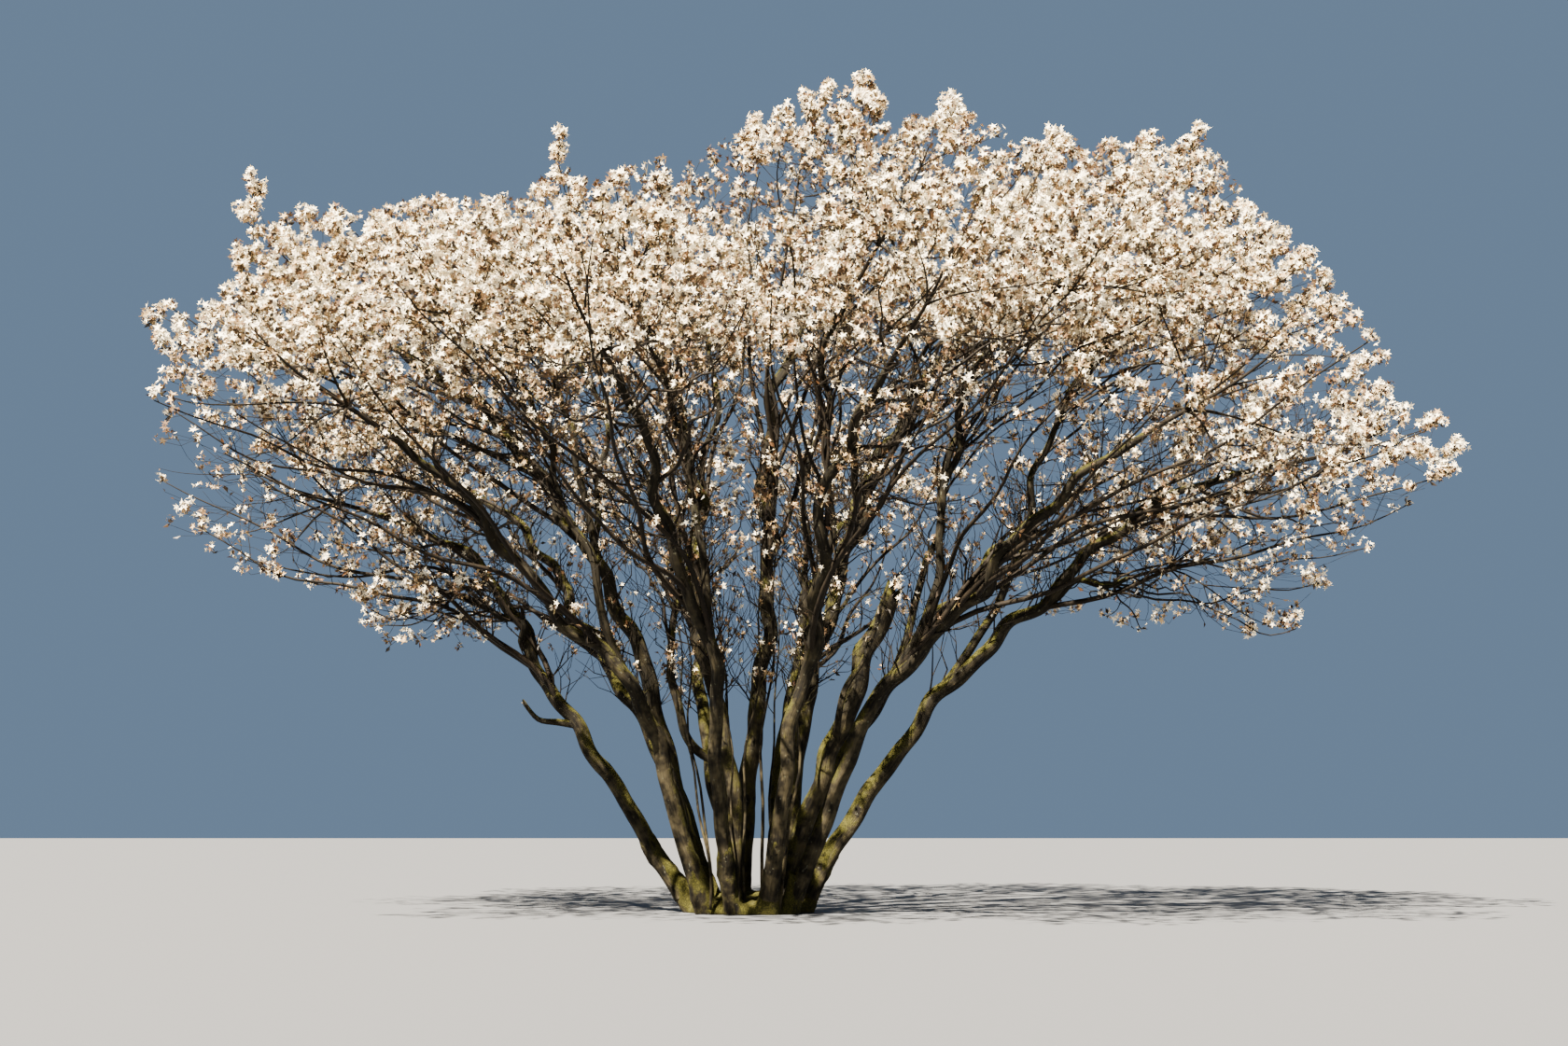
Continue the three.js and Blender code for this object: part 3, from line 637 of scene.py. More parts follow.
def sawn(body):
    """Cuts the stump's top off flat and marks the cut with the second material."""
    top = polar(STUMP["bearing"], STUMP["out"] + STUMP["lean"], STUMP["height"] - SAW_CUT["below"])
    middles = [(face, face.calc_center_median()) for face in body.faces]
    near = [face for face, middle in middles
            if (Vector(top) - middle).length < SAW_REACH[0] and middle.z > SAW_REACH[1]]
    geometry = {part for face in near for part in (face, *face.edges, *face.verts)}
    cut = bmesh.ops.bisect_plane(body, geom=list(geometry), plane_co=top, plane_no=SAW_CUT["looks"],
                                 clear_outer=True)
    edges = [edge for edge in cut["geom_cut"] if isinstance(edge, bmesh.types.BMEdge) and edge.is_boundary]
    filled = bmesh.ops.holes_fill(body, edges=edges, sides=0)
    for face in filled["faces"]:
        face.material_index = 1


SAWN_GREY = (0.33, 0.29, 0.235, 1)
SAWN_DARK = (0.16, 0.13, 0.10, 1)


def dead_wood_paint():
    """Weathered bare wood: silver grey and straw, split along the grain."""
    paint = Paint("dead_wood", Specular_IOR_Level=0.2)
    place = paint.place()
    fibres = paint.noise(paint.stretched(place, (1, 1, 0.2)), scale=180.0, detail=4.0)
    stains = paint.noise(place, scale=40.0, detail=3.0)
    colour = paint.mix(paint.rising(fibres, 0.35, 0.65), SAWN_DARK, SAWN_GREY)
    colour = paint.mix(paint.rising(stains, 0.5, 0.7) * 0.5, colour, SAWN_DARK)
    paint.surface(colour, roughness=0.9, bump=fibres, strength=0.8, distance=0.004)
    return paint.material


mossy_bark = bark_paint("mossy_bark", moss_share=0.26)
dead_wood = dead_wood_paint()
body = root_crown()
sawn(body)
mesh = bpy.data.meshes.new("bark_root_crown")
body.normal_update()
body.to_mesh(mesh)
body.free()
grain = mesh.attributes.new("grain", "FLOAT_VECTOR", "POINT")
grain.data.foreach_set("vector", np.array([vertex.co for vertex in mesh.vertices], np.float32).ravel())
mesh.polygons.foreach_set("use_smooth", [polygon.material_index == 0 for polygon in mesh.polygons])
for material in (mossy_bark, dead_wood):
    mesh.materials.append(material)
crown = bpy.data.objects.new("bark_root_crown", mesh)
bpy.context.scene.collection.objects.link(crown)
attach(crown, "root")
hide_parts("root_crown")

# The dead wood: a thick stem that broke off above head height, with a splintered top, and a short bare branch
# low on the western stem. Their bark is still on, and bare grey wood shows where they broke.
BROKEN_BRANCH = dict(stem="stem_west_low", at=0.42, sets=(184, 4), ends=(180, 62), reach=0.33, lift=0.15,
                     base=0.025, tip=0.012, wander=0.005, seed=402)
BROKEN_STEPS = 5  # points of a short dead limb's path, beyond its first
STEM_BREAK = dict(splinter=0.11, hollow=0.05, seed=602)  # the longest splinter, and how deep the hollow is
BRANCH_BREAK = dict(splinter=0.03, hollow=0.012, seed=604)
SPLINTER_SIDE = 2.2  # where round the break the longest splinters are
SPLINTER_SHARES = (0.45, 0.35)  # their length by where they stand, and by chance
BREAK_INNER = 0.62  # how wide the torn wood is inside its bark
BREAK_DROPS = (0.4, 0.3)  # how far it drops inwards, as shares of its splinters and of the hollow
BREAK_UNEVEN = 0.1


def broken_top(vertices, quads, index, grain, splinter, hollow, seed):
    """Tears the last ring into splinters round a hollow, and gives the torn wood its own faces."""
    rng = np.random.default_rng(seed)
    ring = index[-1]
    onward = unit(vertices[ring].mean(axis=0) - vertices[index[-4]].mean(axis=0))
    angle = 2 * np.pi * np.arange(len(ring)) / len(ring)
    torn = splinter * (SPLINTER_SHARES[0] * np.maximum(np.cos(angle - SPLINTER_SIDE), 0) ** 2
                       + SPLINTER_SHARES[1] * rng.random(len(ring)))
    vertices[ring] += torn[:, None] * onward
    middle = vertices[index[-2]].mean(axis=0)
    drop = (BREAK_DROPS[0] * torn + BREAK_DROPS[1] * hollow)[:, None] * onward
    inner = middle + BREAK_INNER * (vertices[ring] - middle) - drop
    inner += rng.normal(0, BREAK_UNEVEN * splinter, inner.shape)
    inside = np.arange(len(ring)) + len(vertices)
    vertices = np.vstack([vertices, inner, middle - hollow * onward])
    grain = np.vstack([grain, grain[ring], grain[ring].mean(axis=0)])
    lip = np.stack([ring, np.roll(ring, -1), np.roll(inside, -1), inside], axis=1)
    looks = np.repeat([0, 1], [len(quads), 2 * len(ring)])
    return vertices, [quads, lip, fan(inside, len(vertices) - 1)], looks, grain


tube = bark_tube(dead_stem, sides=24, first=share_at_height(dead_stem, PARTING), last=1, seed=601)
vertices, faces, looks, grain = broken_top(*tube, **STEM_BREAK)
broken = add_piece("bark_dead_stem", vertices, faces, [bark, dead_wood], looks, grain=grain)
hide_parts("dead_stem")


def short_girth(base, tip):
    """A short dead limb's radius: an even taper."""
    return lambda t, height: base + (tip - base) * t


def broken_branch_limb(stem, at, sets, ends, reach, lift, base, tip, wander, seed):
    """The short dead branch, which leaves its stem level and turns up."""
    stem = next(limb for limb in limbs if limb.name == stem)
    share = nearest_step(at) / STEM_STEPS
    start = stem.place(share)[0]
    end = start + polar(sets[0], reach, lift)
    branch = Limb("dead_branch", "bough", start, heading(*sets), end, heading(*ends), BROKEN_STEPS, wander,
                  seed, short_girth(base, tip))
    branch.rooted = stem.line(share)[0] - start
    return branch


branch = broken_branch_limb(**BROKEN_BRANCH)
tube = bark_tube(branch, sides=14, first=0, last=1, seed=603, girth=collared(branch))
vertices, faces, looks, grain = broken_top(*tube, **BRANCH_BREAK)
snapped = add_piece("bark_dead_branch", vertices, faces, [bark, dead_wood], looks, grain=grain)
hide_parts("dead_branch")

# A thin shoot on the near side of the broken stem snapped off too. It has the same bark, and its torn end is
# still pale, fresh wood.
SNAPPED = dict(at=0.55, end=(0.815, -0.24, 1.86), swings=(-0.4, -0.4, -0.5), rises=0.3, base=0.021, tip=0.015,
               wander=0.010, seed=403)
SNAPPED_BREAK = dict(splinter=0.10, hollow=0.004, seed=606)
PALE_WOOD = (0.32, 0.25, 0.15, 1)


def snapped_limb(at, end, swings, rises, base, tip, wander, seed):
    """The thin shoot, which leaves the broken stem on its near side."""
    start = dead_stem.place(at)[0]
    way = unit(np.array(end) - start)
    leaving, arriving = unit(way + swings), unit(way + rises * UP)
    return Limb("snapped", "bough", start, leaving, np.array(end), arriving, BROKEN_STEPS, wander, seed,
                short_girth(base, tip))


def plain_paint(name, colour, roughness, **constants):
    """A soft finish of one colour."""
    paint = Paint(name, **constants)
    paint.shader.inputs["Base Color"].default_value = colour
    paint.shader.inputs["Roughness"].default_value = roughness
    return paint.material


pale_wood = plain_paint("pale_wood", PALE_WOOD, 0.8)
shoot = snapped_limb(**SNAPPED)
tube = bark_tube(shoot, sides=12, first=0, last=1, seed=605, girth=collared(shoot))
vertices, faces, looks, grain = broken_top(*tube, **SNAPPED_BREAK)
snapped_shoot = add_piece("bark_snapped_shoot", vertices, faces, [bark, pale_wood], looks, grain=grain)
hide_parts("dead_stem")

# The twigs: each mass of blossom starts as one twig straight on from its limb's tip. Others reach out from
# it to even places in the mass's own space, each from the nearest good knot. Long thin limbs sweep out under
# it, and finer shoots fill it by the same rule. They are dark, reddish-brown wood and turn up to the light.
FLATNESS = 1.5  # heights count this many times where the crown is shared out between the masses
SPACE_GAP = 0.010  # half the clearance between the spaces of two masses
LIMB_GAP = 0.012
BEAD_SPACING = 0.030  # of the beads that stand for a limb where clearance is tested
SITE_POOL = 90
SITE_TRIES = 3600
SITE_MARGIN = 0.090
TWIGS = 11
LEADER = 0.85  # length of a mass's first twig as a share of the spread
SEAT_SHARE = 0.9
TWIG_SHARE = 0.5  # a twig starts with this share of its parent's radius there
TWIG_TAPER = 0.65
TWIG_TIP = 0.5  # a twig is this much thinner at its tip than its solid is
TWIG_SWELL = 1.3  # and this much thicker at its root
TWIG_LEAST = 0.0035
TWIG_PULL = 0.36  # how far it holds its first and last direction, as a share of its length
TWIG_BEND = (0.45, 0.25)  # how far it keeps on along its parent, and swings outwards at its tip
TWIG_CLIMB = 0.35  # how far it turns up
TWIG_LEVEL = np.array([1, 1, 0.25])  # makes its way outwards more level
TWIG_SEATED = 0.02  # the first one starts this far inside its limb
KNOT_SHARES = (0.3, 0.6, 0.88)
BALANCE = 0.5  # how dearly a twig pays for a root that lies far from the limb
TURN_PRICE = (1.25, 0.5)  # its price for each metre, and how much of it going straight on saves
SWEEPS = 7  # long thin limbs under a mass
SWEEP_SPAN = (0.42, 0.93)  # the stretch of the limb that they leave from
SWEEP_SHARE = 0.50  # one starts with this share of its limb's radius there, within the next two radii
SWEEP_GIRTH = (0.008, 0.021)
SWEEP_TIP = 0.0035
SWEEP_KNOTS = (0.55, 0.7, 0.84, 0.95)
SWEEP_POOL = 600
SWEEP_TOP = 0.15  # they end no higher above the heart than this share of the mass's depth
SWEEP_BEND = (0.5, 0.35, 0.3)  # how far one sets off towards its end, turns up there and swings outwards
SWEEP_LEVEL = np.array([1, 1, 0.2])
SWEEP_TURN = 0.6  # how far one sets off to a side
SWEEP_AHEAD = 0.02  # how far apart, in shares, two places are that give the limb's direction
SWEEP_CROOK = 0.045
SWEEP_PRICE = 0.4  # how dearly a shoot pays for leaving one, for each metre of it
TRIM = 0.09  # twigs end this far inside the crown's outline, and their flowers at it
SHOOTS = 130  # finer shoots in a whole mass
SHOOT_POOL = 1100
SHOOT_MARGIN = 0.060
SHOOT_ROOT = 0.0045
SHOOT_SHARE = 0.7  # or this share of its parent's radius where that is less
SHOOT_TIP = 0.0014
SHOOT_KNOTS = (0.35, 0.7)
SHOOT_CLIMB = (0.3, 1.1)
SHOOT_CROOK = 0.009
CROOK_WAVES = ((7, 1.0), (11, 0.8), (19, 0.5))  # turns and size of the crooks of a twig
CROOK_HOLD = 0.6
RINGS = dict(main=8, sweep=18, shoot=3, side=4, fork=2, spike=6)
SIDES = dict(main=5, sweep=5, shoot=3, side=3, fork=3, spike=4)
DOME_MIDDLE = np.array([0.15, 0.0, 2.3])  # the crown's outside is nearly this round dome
DOME_SIZE = np.array([4.35, 3.75, 3.25])
VIEWPOINT = np.array([0.216, -12.5, 0.5545])  # where the photograph was taken from

# The crown's outline from the viewpoint, at the root crown's own distance: how far east and how high.
OUTLINE = np.array([
    (-4.09, 3.93), (-3.80, 3.97), (-3.47, 3.97), (-3.45, 4.47), (-3.38, 4.69), (-3.12, 4.66), (-2.53, 4.58),
    (-2.19, 4.69), (-1.76, 4.67), (-1.51, 4.69), (-1.27, 4.92), (-1.02, 4.79), (-0.71, 4.96), (-0.40, 5.01),
    (-0.09, 5.12), (0.15, 5.24), (0.34, 5.40), (0.56, 5.44), (0.75, 5.48), (0.87, 5.25), (1.12, 5.21),
    (1.34, 5.37), (1.49, 5.21), (1.71, 5.09), (2.45, 5.08), (2.83, 5.12), (3.07, 5.12), (3.25, 4.85),
    (3.37, 4.60), (3.66, 4.33), (3.90, 4.02), (4.07, 3.77), (4.19, 3.46), (4.26, 3.22), (4.53, 3.21),
    (4.72, 2.97), (4.60, 2.76), (4.29, 2.56), (4.12, 2.29), (3.82, 2.16), (3.63, 1.93), (3.49, 1.63),
    (3.20, 1.64), (2.78, 1.79), (2.48, 1.69), (2.07, 1.82), (1.65, 1.73), (1.17, 1.63), (0.57, 1.27),
    (-0.02, 1.03), (-0.61, 1.09), (-1.21, 1.42), (-1.54, 1.54), (-1.99, 1.52), (-2.50, 1.61), (-2.51, 1.93),
    (-2.84, 1.99), (-3.20, 2.06), (-3.56, 2.16), (-3.84, 2.29), (-3.90, 2.72), (-3.98, 3.21), (-3.93, 3.58)])


def in_outline(points, margin):
    """Which points lie inside the crown's outline, at least a margin from it."""
    nearer = -VIEWPOINT[1] / (points[:, 1] - VIEWPOINT[1])
    flat = VIEWPOINT[[0, 2]] + (points[:, [0, 2]] - VIEWPOINT[[0, 2]]) * nearer[:, None]
    inside = np.ones(len(points), bool)
    east, up = OUTLINE.T
    east_next, up_next = np.roll(OUTLINE, -1, axis=0).T
    climb = np.where(up_next == up, 1, up_next - up)
    for aside in margin * np.array([(0, 1), (0, -1), (1, 0), (-1, 0)]):
        x, z = (flat + aside).T[..., None]
        crossed = ((up > z) != (up_next > z)) & (x < east + (z - up) / climb * (east_next - east))
        inside &= crossed.sum(axis=1) % 2 == 1
    return inside


def points_at(spots, along, path):
    """The points of a path at some distances along it."""
    return np.stack([np.interp(spots, along, path[:, axis]) for axis in range(3)], axis=1)


TRIM_TRIES = 60  # places on a curve that are tested
TRIM_KEEPS = 12  # of which these are always kept


def trimmed(curve, margin):
    """A curve, cut off where it leaves the crown's outline."""
    along = np.arange(len(curve))
    t = np.linspace(0, len(curve) - 1, TRIM_TRIES)
    outside = ~in_outline(points_at(t, along, curve), margin)
    if not outside.any() or outside[0]:
        return curve
    return points_at(np.linspace(0, t[max(TRIM_KEEPS, np.argmax(outside))], len(curve)), along, curve)


def share_out(masses):
    """Gives each mass the walls of its space, halfway to every other heart."""
    for mass in masses:
        others = np.array([other["heart"] for other in masses if other is not mass])
        mass["normals"] = unit((mass["heart"] - others) * [1, 1, FLATNESS**2])
        mass["offsets"] = ((mass["heart"] + others) / 2 * mass["normals"]).sum(axis=1) + SPACE_GAP


def in_space(mass, points, margin):
    """Which points lie in the space of a mass, at least a margin inside it."""
    apart = points - mass["heart"]
    level = np.hypot(apart[:, 0], apart[:, 1]) / (mass["spread"] - margin)
    height = apart[:, 2] / (mass["depth"] - margin)
    walls = (points @ mass["normals"].T > mass["offsets"] + margin).all(axis=1)
    return (level**2 + height**2 <= 1) & walls


def beads_along(path, radius):
    """Beads strung close along a limb, as rows of place and radius."""
    beads = []
    for i in range(len(path) - 1):
        count = int(np.ceil(np.linalg.norm(path[i + 1] - path[i]) / BEAD_SPACING))
        share = np.arange(count + 1)[:, None] / count
        place = path[i] + (path[i + 1] - path[i]) * share
        size = radius[i] + (radius[i + 1] - radius[i]) * share
        beads.append(np.hstack([place, size]))
    return np.vstack(beads)


def clear_of(beads, start, end, girth):
    """Whether a straight twig keeps its distance from the beads."""
    step = end - start
    share = np.clip((beads[:, :3] - start) @ step / max(step @ step, 1e-12), 0, 1)
    apart = np.linalg.norm(beads[:, :3] - start - share[:, None] * step, axis=1)
    return (apart > beads[:, 3] + girth + LIMB_GAP).all()


def spread_out(pool, taken, count):
    """Of a pool of points, those that lie furthest from the ones taken so far, one after another."""
    room = np.min(np.linalg.norm(pool[:, None] - taken[None], axis=2), axis=1)
    chosen = []
    for _ in range(count):
        chosen.append(int(np.argmax(room)))
        room = np.minimum(room, np.linalg.norm(pool - pool[chosen[-1]], axis=1))
    return pool[chosen]


def twig_sites(mass, beads, draw):
    """Even places for the ends of the mass's main twigs."""
    tip = mass["limb"].path[-1]
    draws = np.array([2 * draw() - 1 for _ in range(3 * SITE_TRIES)]).reshape(-1, 3)
    points = draws * mass["size"] + mass["heart"]
    points = points[((points - tip) @ mass["onward"] > 0) & in_space(mass, points, SITE_MARGIN)]
    apart = np.linalg.norm(points[:, None] - beads[None, :, :3], axis=2)
    points = points[(apart > beads[:, 3] + SITE_MARGIN + LIMB_GAP).all(axis=1)][:SITE_POOL]
    sites = spread_out(points, mass["heart"][None], TWIGS)
    return sites[np.argsort(np.linalg.norm(sites - tip, axis=1), kind="stable")]


def bent(starts, leaving, ends, arriving, rings):
    """Many curves at once, each from a start to an end with the directions it keeps there."""
    pull = TWIG_PULL * np.linalg.norm(ends - starts, axis=1, keepdims=True)
    handles = np.stack([starts, starts + pull * leaving, ends - pull * arriving, ends], axis=1)
    return np.einsum("rk,nkc->nrc", pulls_at(np.linspace(0, 1, rings + 1)), handles)


def bent_one(start, leaving, end, arriving, rings):
    """The same for a single curve."""
    return bent(start[None], leaving[None], end[None], arriving[None], rings)[0]


def crooked(curves, size, rng):
    """Many curves at once, bent off their lines by seeded crooks that die out at both ends."""
    t = np.linspace(0, 1, curves.shape[1])
    chord = unit(curves[:, -1] - curves[:, 0])
    side = unit(np.cross(chord, rng.normal(0, 1, chord.shape)))
    for (turns, share), way in zip(CROOK_WAVES, (side, np.cross(chord, side), side)):
        phase = rng.uniform(0, 2 * np.pi, (len(curves), 1))
        sway = size * share * swelling(t, CROOK_HOLD) * np.sin(turns * t + phase)
        curves = curves + sway[..., None] * way[:, None]
    return curves


def crooked_one(curve, size, rng):
    """The same for a single curve."""
    return crooked(curve[None], size, rng)[0]


class Growth:
    """The twigs of a mass as curves, with their radii, and the knots that others can leave them at."""

    def __init__(self):
        self.kinds, self.curves, self.radii = [], [], []
        self.places, self.onwards, self.travelled, self.girths, self.roots = [], [], [], [], []

    def add(self, kind, curve, girth, tip, travelled=0.0, shares=(), straight=None):
        """Adds a twig. Its knots are priced where the straight twig has them, and rooted on the curve."""
        self.kinds.append(kind)
        self.curves.append(curve)
        self.radii.append(np.linspace(girth, tip, len(curve)))
        line = curve[[0, -1]] if straight is None else straight
        for share in shares:
            spot = share * (len(curve) - 1)
            low = int(spot)
            self.roots.append(curve[low] + (curve[low + 1] - curve[low]) * (spot - low))
            self.places.append(line[0] + (line[1] - line[0]) * share)
            self.onwards.append(unit(line[1] - line[0]))
            self.travelled.append(travelled + share * np.linalg.norm(line[1] - line[0]))
            self.girths.append(girth + (tip - girth) * share)

    def cheapest(self, site):
        """The knot that a twig to this site leaves from."""
        way = site - np.array(self.places)
        straight_on = (way * np.array(self.onwards)).sum(axis=1)
        price = TURN_PRICE[0] * np.linalg.norm(way, axis=1) - TURN_PRICE[1] * straight_on
        return int(np.argmin(price + BALANCE * np.array(self.travelled)))


def turned_up(way, onward, climb):
    """The directions that a twig keeps at its root and its end: it leaves along its parent and turns up."""
    outward = unit(way * TWIG_LEVEL)
    return unit(unit(way) + TWIG_BEND[0] * onward), unit(unit(way) + climb * UP + TWIG_BEND[1] * outward)


def grow_main(mass, beads, growth):
    """The main twigs of a mass, by the rule that its solid has."""
    limb, onward = mass["limb"], mass["onward"]
    seat = limb.path[-1]
    girth = SEAT_SHARE * limb.radius[-1]
    tip = seat + onward * LEADER * mass["spread"]
    curve = bent_one(seat - TWIG_SEATED * onward, onward, tip, unit(onward + TWIG_CLIMB * UP), RINGS["main"])
    growth.add("main", trimmed(curve, TRIM), girth, TWIG_TAPER * girth * TWIG_TIP, 0, KNOT_SHARES,
               np.array([seat, tip]))
    for site in twig_sites(mass, beads, seeded(mass["seed"])):
        knot = growth.cheapest(site)
        place, girth = growth.places[knot], max(TWIG_LEAST, TWIG_SHARE * growth.girths[knot])
        if not clear_of(beads, place, site, girth):
            continue
        leaving, arriving = turned_up(site - place, growth.onwards[knot], TWIG_CLIMB)
        curve = trimmed(bent_one(growth.roots[knot], leaving, site, arriving, RINGS["main"]), TRIM)
        growth.add("main", curve, TWIG_SWELL * girth, TWIG_TIP * TWIG_TAPER * girth, growth.travelled[knot],
                   KNOT_SHARES, np.array([place, site]))


def grow_sweeps(mass, growth, rng):
    """The long thin limbs that leave the limb on its way up and run out under the mass."""
    limb, heart = mass["limb"], mass["heart"]
    pool = rng.uniform(-1, 1, (SWEEP_POOL, 3)) * mass["size"] + heart
    pool = pool[in_space(mass, pool, SITE_MARGIN) & (pool[:, 2] < heart[2] + SWEEP_TOP * mass["depth"])]
    ends = spread_out(pool, np.array([heart, limb.path[-1]]), SWEEPS)
    shares = np.sort(rng.uniform(*SWEEP_SPAN, SWEEPS))
    for share, end in zip(shares, ends[rng.permutation(len(ends))]):
        root, ahead = limb.line([share, share + SWEEP_AHEAD])
        way = unit(end - root)
        onward = unit(ahead - root)
        girth = np.clip(SWEEP_SHARE * float(limb.girth_at(share)[0]), *SWEEP_GIRTH)
        outward = unit(mass["onward"] * SWEEP_LEVEL)
        arriving = unit(way + SWEEP_BEND[1] * UP + SWEEP_BEND[2] * outward)
        aside = unit(np.cross(onward, rng.normal(0, 1, 3)))
        leaving = unit(onward + SWEEP_BEND[0] * way + SWEEP_TURN * aside)
        curve = bent_one(root, leaving, end, arriving, RINGS["sweep"])
        curve = trimmed(crooked_one(curve, SWEEP_CROOK, rng), TRIM)
        growth.add("sweep", curve, girth, SWEEP_TIP, SWEEP_PRICE * np.linalg.norm(end - root), SWEEP_KNOTS)


def grow_shoots(mass, growth, rng):
    """The finer shoots, each to an even place in the space from the nearest good knot."""
    pool = rng.uniform(-1, 1, (SHOOT_POOL * 3, 3)) * mass["size"] + mass["heart"]
    pool = pool[in_space(mass, pool, SHOOT_MARGIN) & in_outline(pool, TRIM)][:SHOOT_POOL]
    ends = np.array([curve[-1] for curve in growth.curves])
    sites = spread_out(pool, ends, int(SHOOTS * (mass["spread"] / SPREAD) ** 2))
    for site in sites[np.argsort(np.linalg.norm(sites - mass["limb"].path[-1], axis=1))]:
        knot = growth.cheapest(site)
        root = growth.roots[knot]
        leaving, arriving = turned_up(site - root, growth.onwards[knot], rng.uniform(*SHOOT_CLIMB))
        curve = bent_one(root, leaving, site, arriving, RINGS["shoot"])
        curve[1:-1] += rng.normal(0, SHOOT_CROOK, (RINGS["shoot"] - 1, 3))
        girth = min(SHOOT_ROOT, SHOOT_SHARE * growth.girths[knot])
        growth.add("shoot", curve, girth, SHOOT_TIP, growth.travelled[knot], SHOOT_KNOTS)


# Tall shoots of last year's growth stand up out of the top of the crown: some where they show from the
# viewpoint, at their distances east and up, and a few more on every high mass. Each bears two side shoots.
SPIKES = ((0.79, 5.55), (0.36, 5.44), (1.35, 5.42), (-1.27, 5.03), (-3.31, 4.76), (3.05, 5.20), (-0.68, 5.00),
          (-2.12, 4.74), (2.02, 5.14), (-1.50, 4.76), (0.02, 5.20), (2.70, 5.15))
SPIKE_REACH = 0.55
SPIKE_DEPTH = 0.15  # how far in front of or behind its mass's heart it stands
SPIKES_MORE = 2
SPIKES_FROM = 3.4  # height of the heart of a mass that has more of them
SPIKES_ASIDE = 0.55  # how far from over the heart they stand, as a share of the spread
SPIKES_RISE = (-0.15, 0.05)
SPIKES_TRIM = 0.05
SPIKE_ROOT = 0.0055
SPIKE_SHARE = 0.8  # or this share of its parent's radius where that is less
SPIKE_TIP = 0.0018
SPIKE_CLIMB = 0.6
SPIKE_LEAN = 0.12
SPIKE_CROOK = 0.015
SPIKE_FORKS = (0.36, 0.22)  # how far from its tip the side shoots leave
SPIKE_FORK = (0.14, 0.26)
SPIKE_FORK_LEAN = 0.30
SPIKE_FORK_TURN = 0.06
SPIKE_FORK_ROOT = 0.0032
SPIKE_FLATNESS = 1.4  # heights count this many times where a tall shoot is given to the nearest mass


def grow_spikes(mass, growth, rng):
    """The tall upright shoots of a mass."""
    heart = mass["heart"]
    hearts = np.array([other["heart"] for other in masses])
    tips = []
    for east, up in SPIKES:
        nearest = np.argmin(np.hypot(hearts[:, 0] - east, SPIKE_FLATNESS * (hearts[:, 2] - up)))
        if masses[nearest] is mass:
            tips.append(np.array([east, heart[1] + rng.uniform(-SPIKE_DEPTH, SPIKE_DEPTH), up]))
    if heart[2] > SPIKES_FROM:
        for _ in range(SPIKES_MORE):
            aside = rng.uniform(-SPIKES_ASIDE, SPIKES_ASIDE, 2) * mass["spread"]
            rise = mass["depth"] * np.sqrt(1 - (aside @ aside) / mass["spread"] ** 2)
            tip = heart + [*aside, rise + rng.uniform(*SPIKES_RISE)]
            if in_outline(tip[None], SPIKES_TRIM)[0]:
                tips.append(tip)
    for tip in tips:
        knot = growth.cheapest(tip - SPIKE_REACH * UP)
        leaving = unit(growth.onwards[knot] + SPIKE_CLIMB * UP)
        arriving = unit(UP + rng.normal(0, SPIKE_LEAN, 3))
        curve = bent_one(growth.roots[knot], leaving, tip, arriving, RINGS["spike"])
        curve = crooked_one(curve, SPIKE_CROOK, rng)
        growth.add("spike", curve, min(SPIKE_ROOT, SPIKE_SHARE * growth.girths[knot]), SPIKE_TIP)
        for back in SPIKE_FORKS:
            start = tip - back * unit(curve[-1] - curve[-2])
            end = start + rng.uniform(*SPIKE_FORK) * unit(UP + rng.normal(0, SPIKE_FORK_LEAN, 3))
            leaving = unit(end - start + rng.normal(0, SPIKE_FORK_TURN, 3))
            growth.add("spike", bent_one(start, leaving, end, UP, RINGS["spike"]), SPIKE_FORK_ROOT, SPIKE_TIP)


def ramp(value, start, width):
    """From 0 at the start to 1 a width further on."""
    return np.clip((value - start) / width, 0, 1)


def eased(share):
    """The same share, but setting off and arriving gently."""
    return share * share * (3 - 2 * share)


LIT = (0.38, 0.33)  # where the light begins, in the dome from its middle, and how much further on it is full


def light_at(points):
    """How much light a place gets: from 0 deep inside the crown to 1 on its outside."""
    return eased(ramp(np.linalg.norm((points - DOME_MIDDLE) / DOME_SIZE, axis=-1), *LIT))


# How full of flowers the tiers are, which also sets the painted light and shade of their flowers. Each pair
# is where one begins and how much further on it is full: up a mass from its heart in depths, up the crown and
# out from the root crown in metres, and down and east there.
UP_MASS = (-0.55, 0.85)
UP_CROWN = (2.2, 1.3)
UP_CROWN_LEAST = 0.40
TOP_TIER = ((2.75, 0.7), 0.94)
OUT_TIERS = (((2.8, 0.8), 0.58), ((3.7, 0.4), 0.42))
BARE_BELOW = ((2.80, -0.35), (0, 1.5), 0.75)  # the eastern tiers are open underneath


def tier_at(mass, point):
    """How full of flowers a place is for its height, and so how much painted light they get: least low down
    in its mass and low down in the crown.
    """
    in_mass = eased(ramp((point[2] - mass["heart"][2]) / mass["depth"], *UP_MASS))
    in_crown = UP_CROWN_LEAST + (1 - UP_CROWN_LEAST) * ramp(point[2], *UP_CROWN)
    top = TOP_TIER[1] * ramp(point[2], *TOP_TIER[0])
    far = sum(full * ramp(np.hypot(*point[:2]), *where) for where, full in OUT_TIERS)
    far *= 1 - BARE_BELOW[2] * ramp(point[2], *BARE_BELOW[0]) * ramp(point[0], *BARE_BELOW[1])
    return max(in_mass * in_crown, top, far, mass["least"])


# Tiers and puffs of blossom, which set how full it is and its painted light and shade: how many there are in
# a metre east, north and up, and how much they stand out.
PUFFS = (([0.55, 0.26, 1.45], 2.1), ([2.6, 2.6, 2.6], 0.95))
PUFFS_FROM = np.array([-15.3, 7.8, -8.4])  # brings the bright tiers to where they are on the tree
UNDERSIDE = 0.20  # how far above a place the blossom that shades it is
PUFF_TONE = (0.99, 1.15, 1.2, 1.15)  # in the middle, what a puff adds and an underside takes, and at most


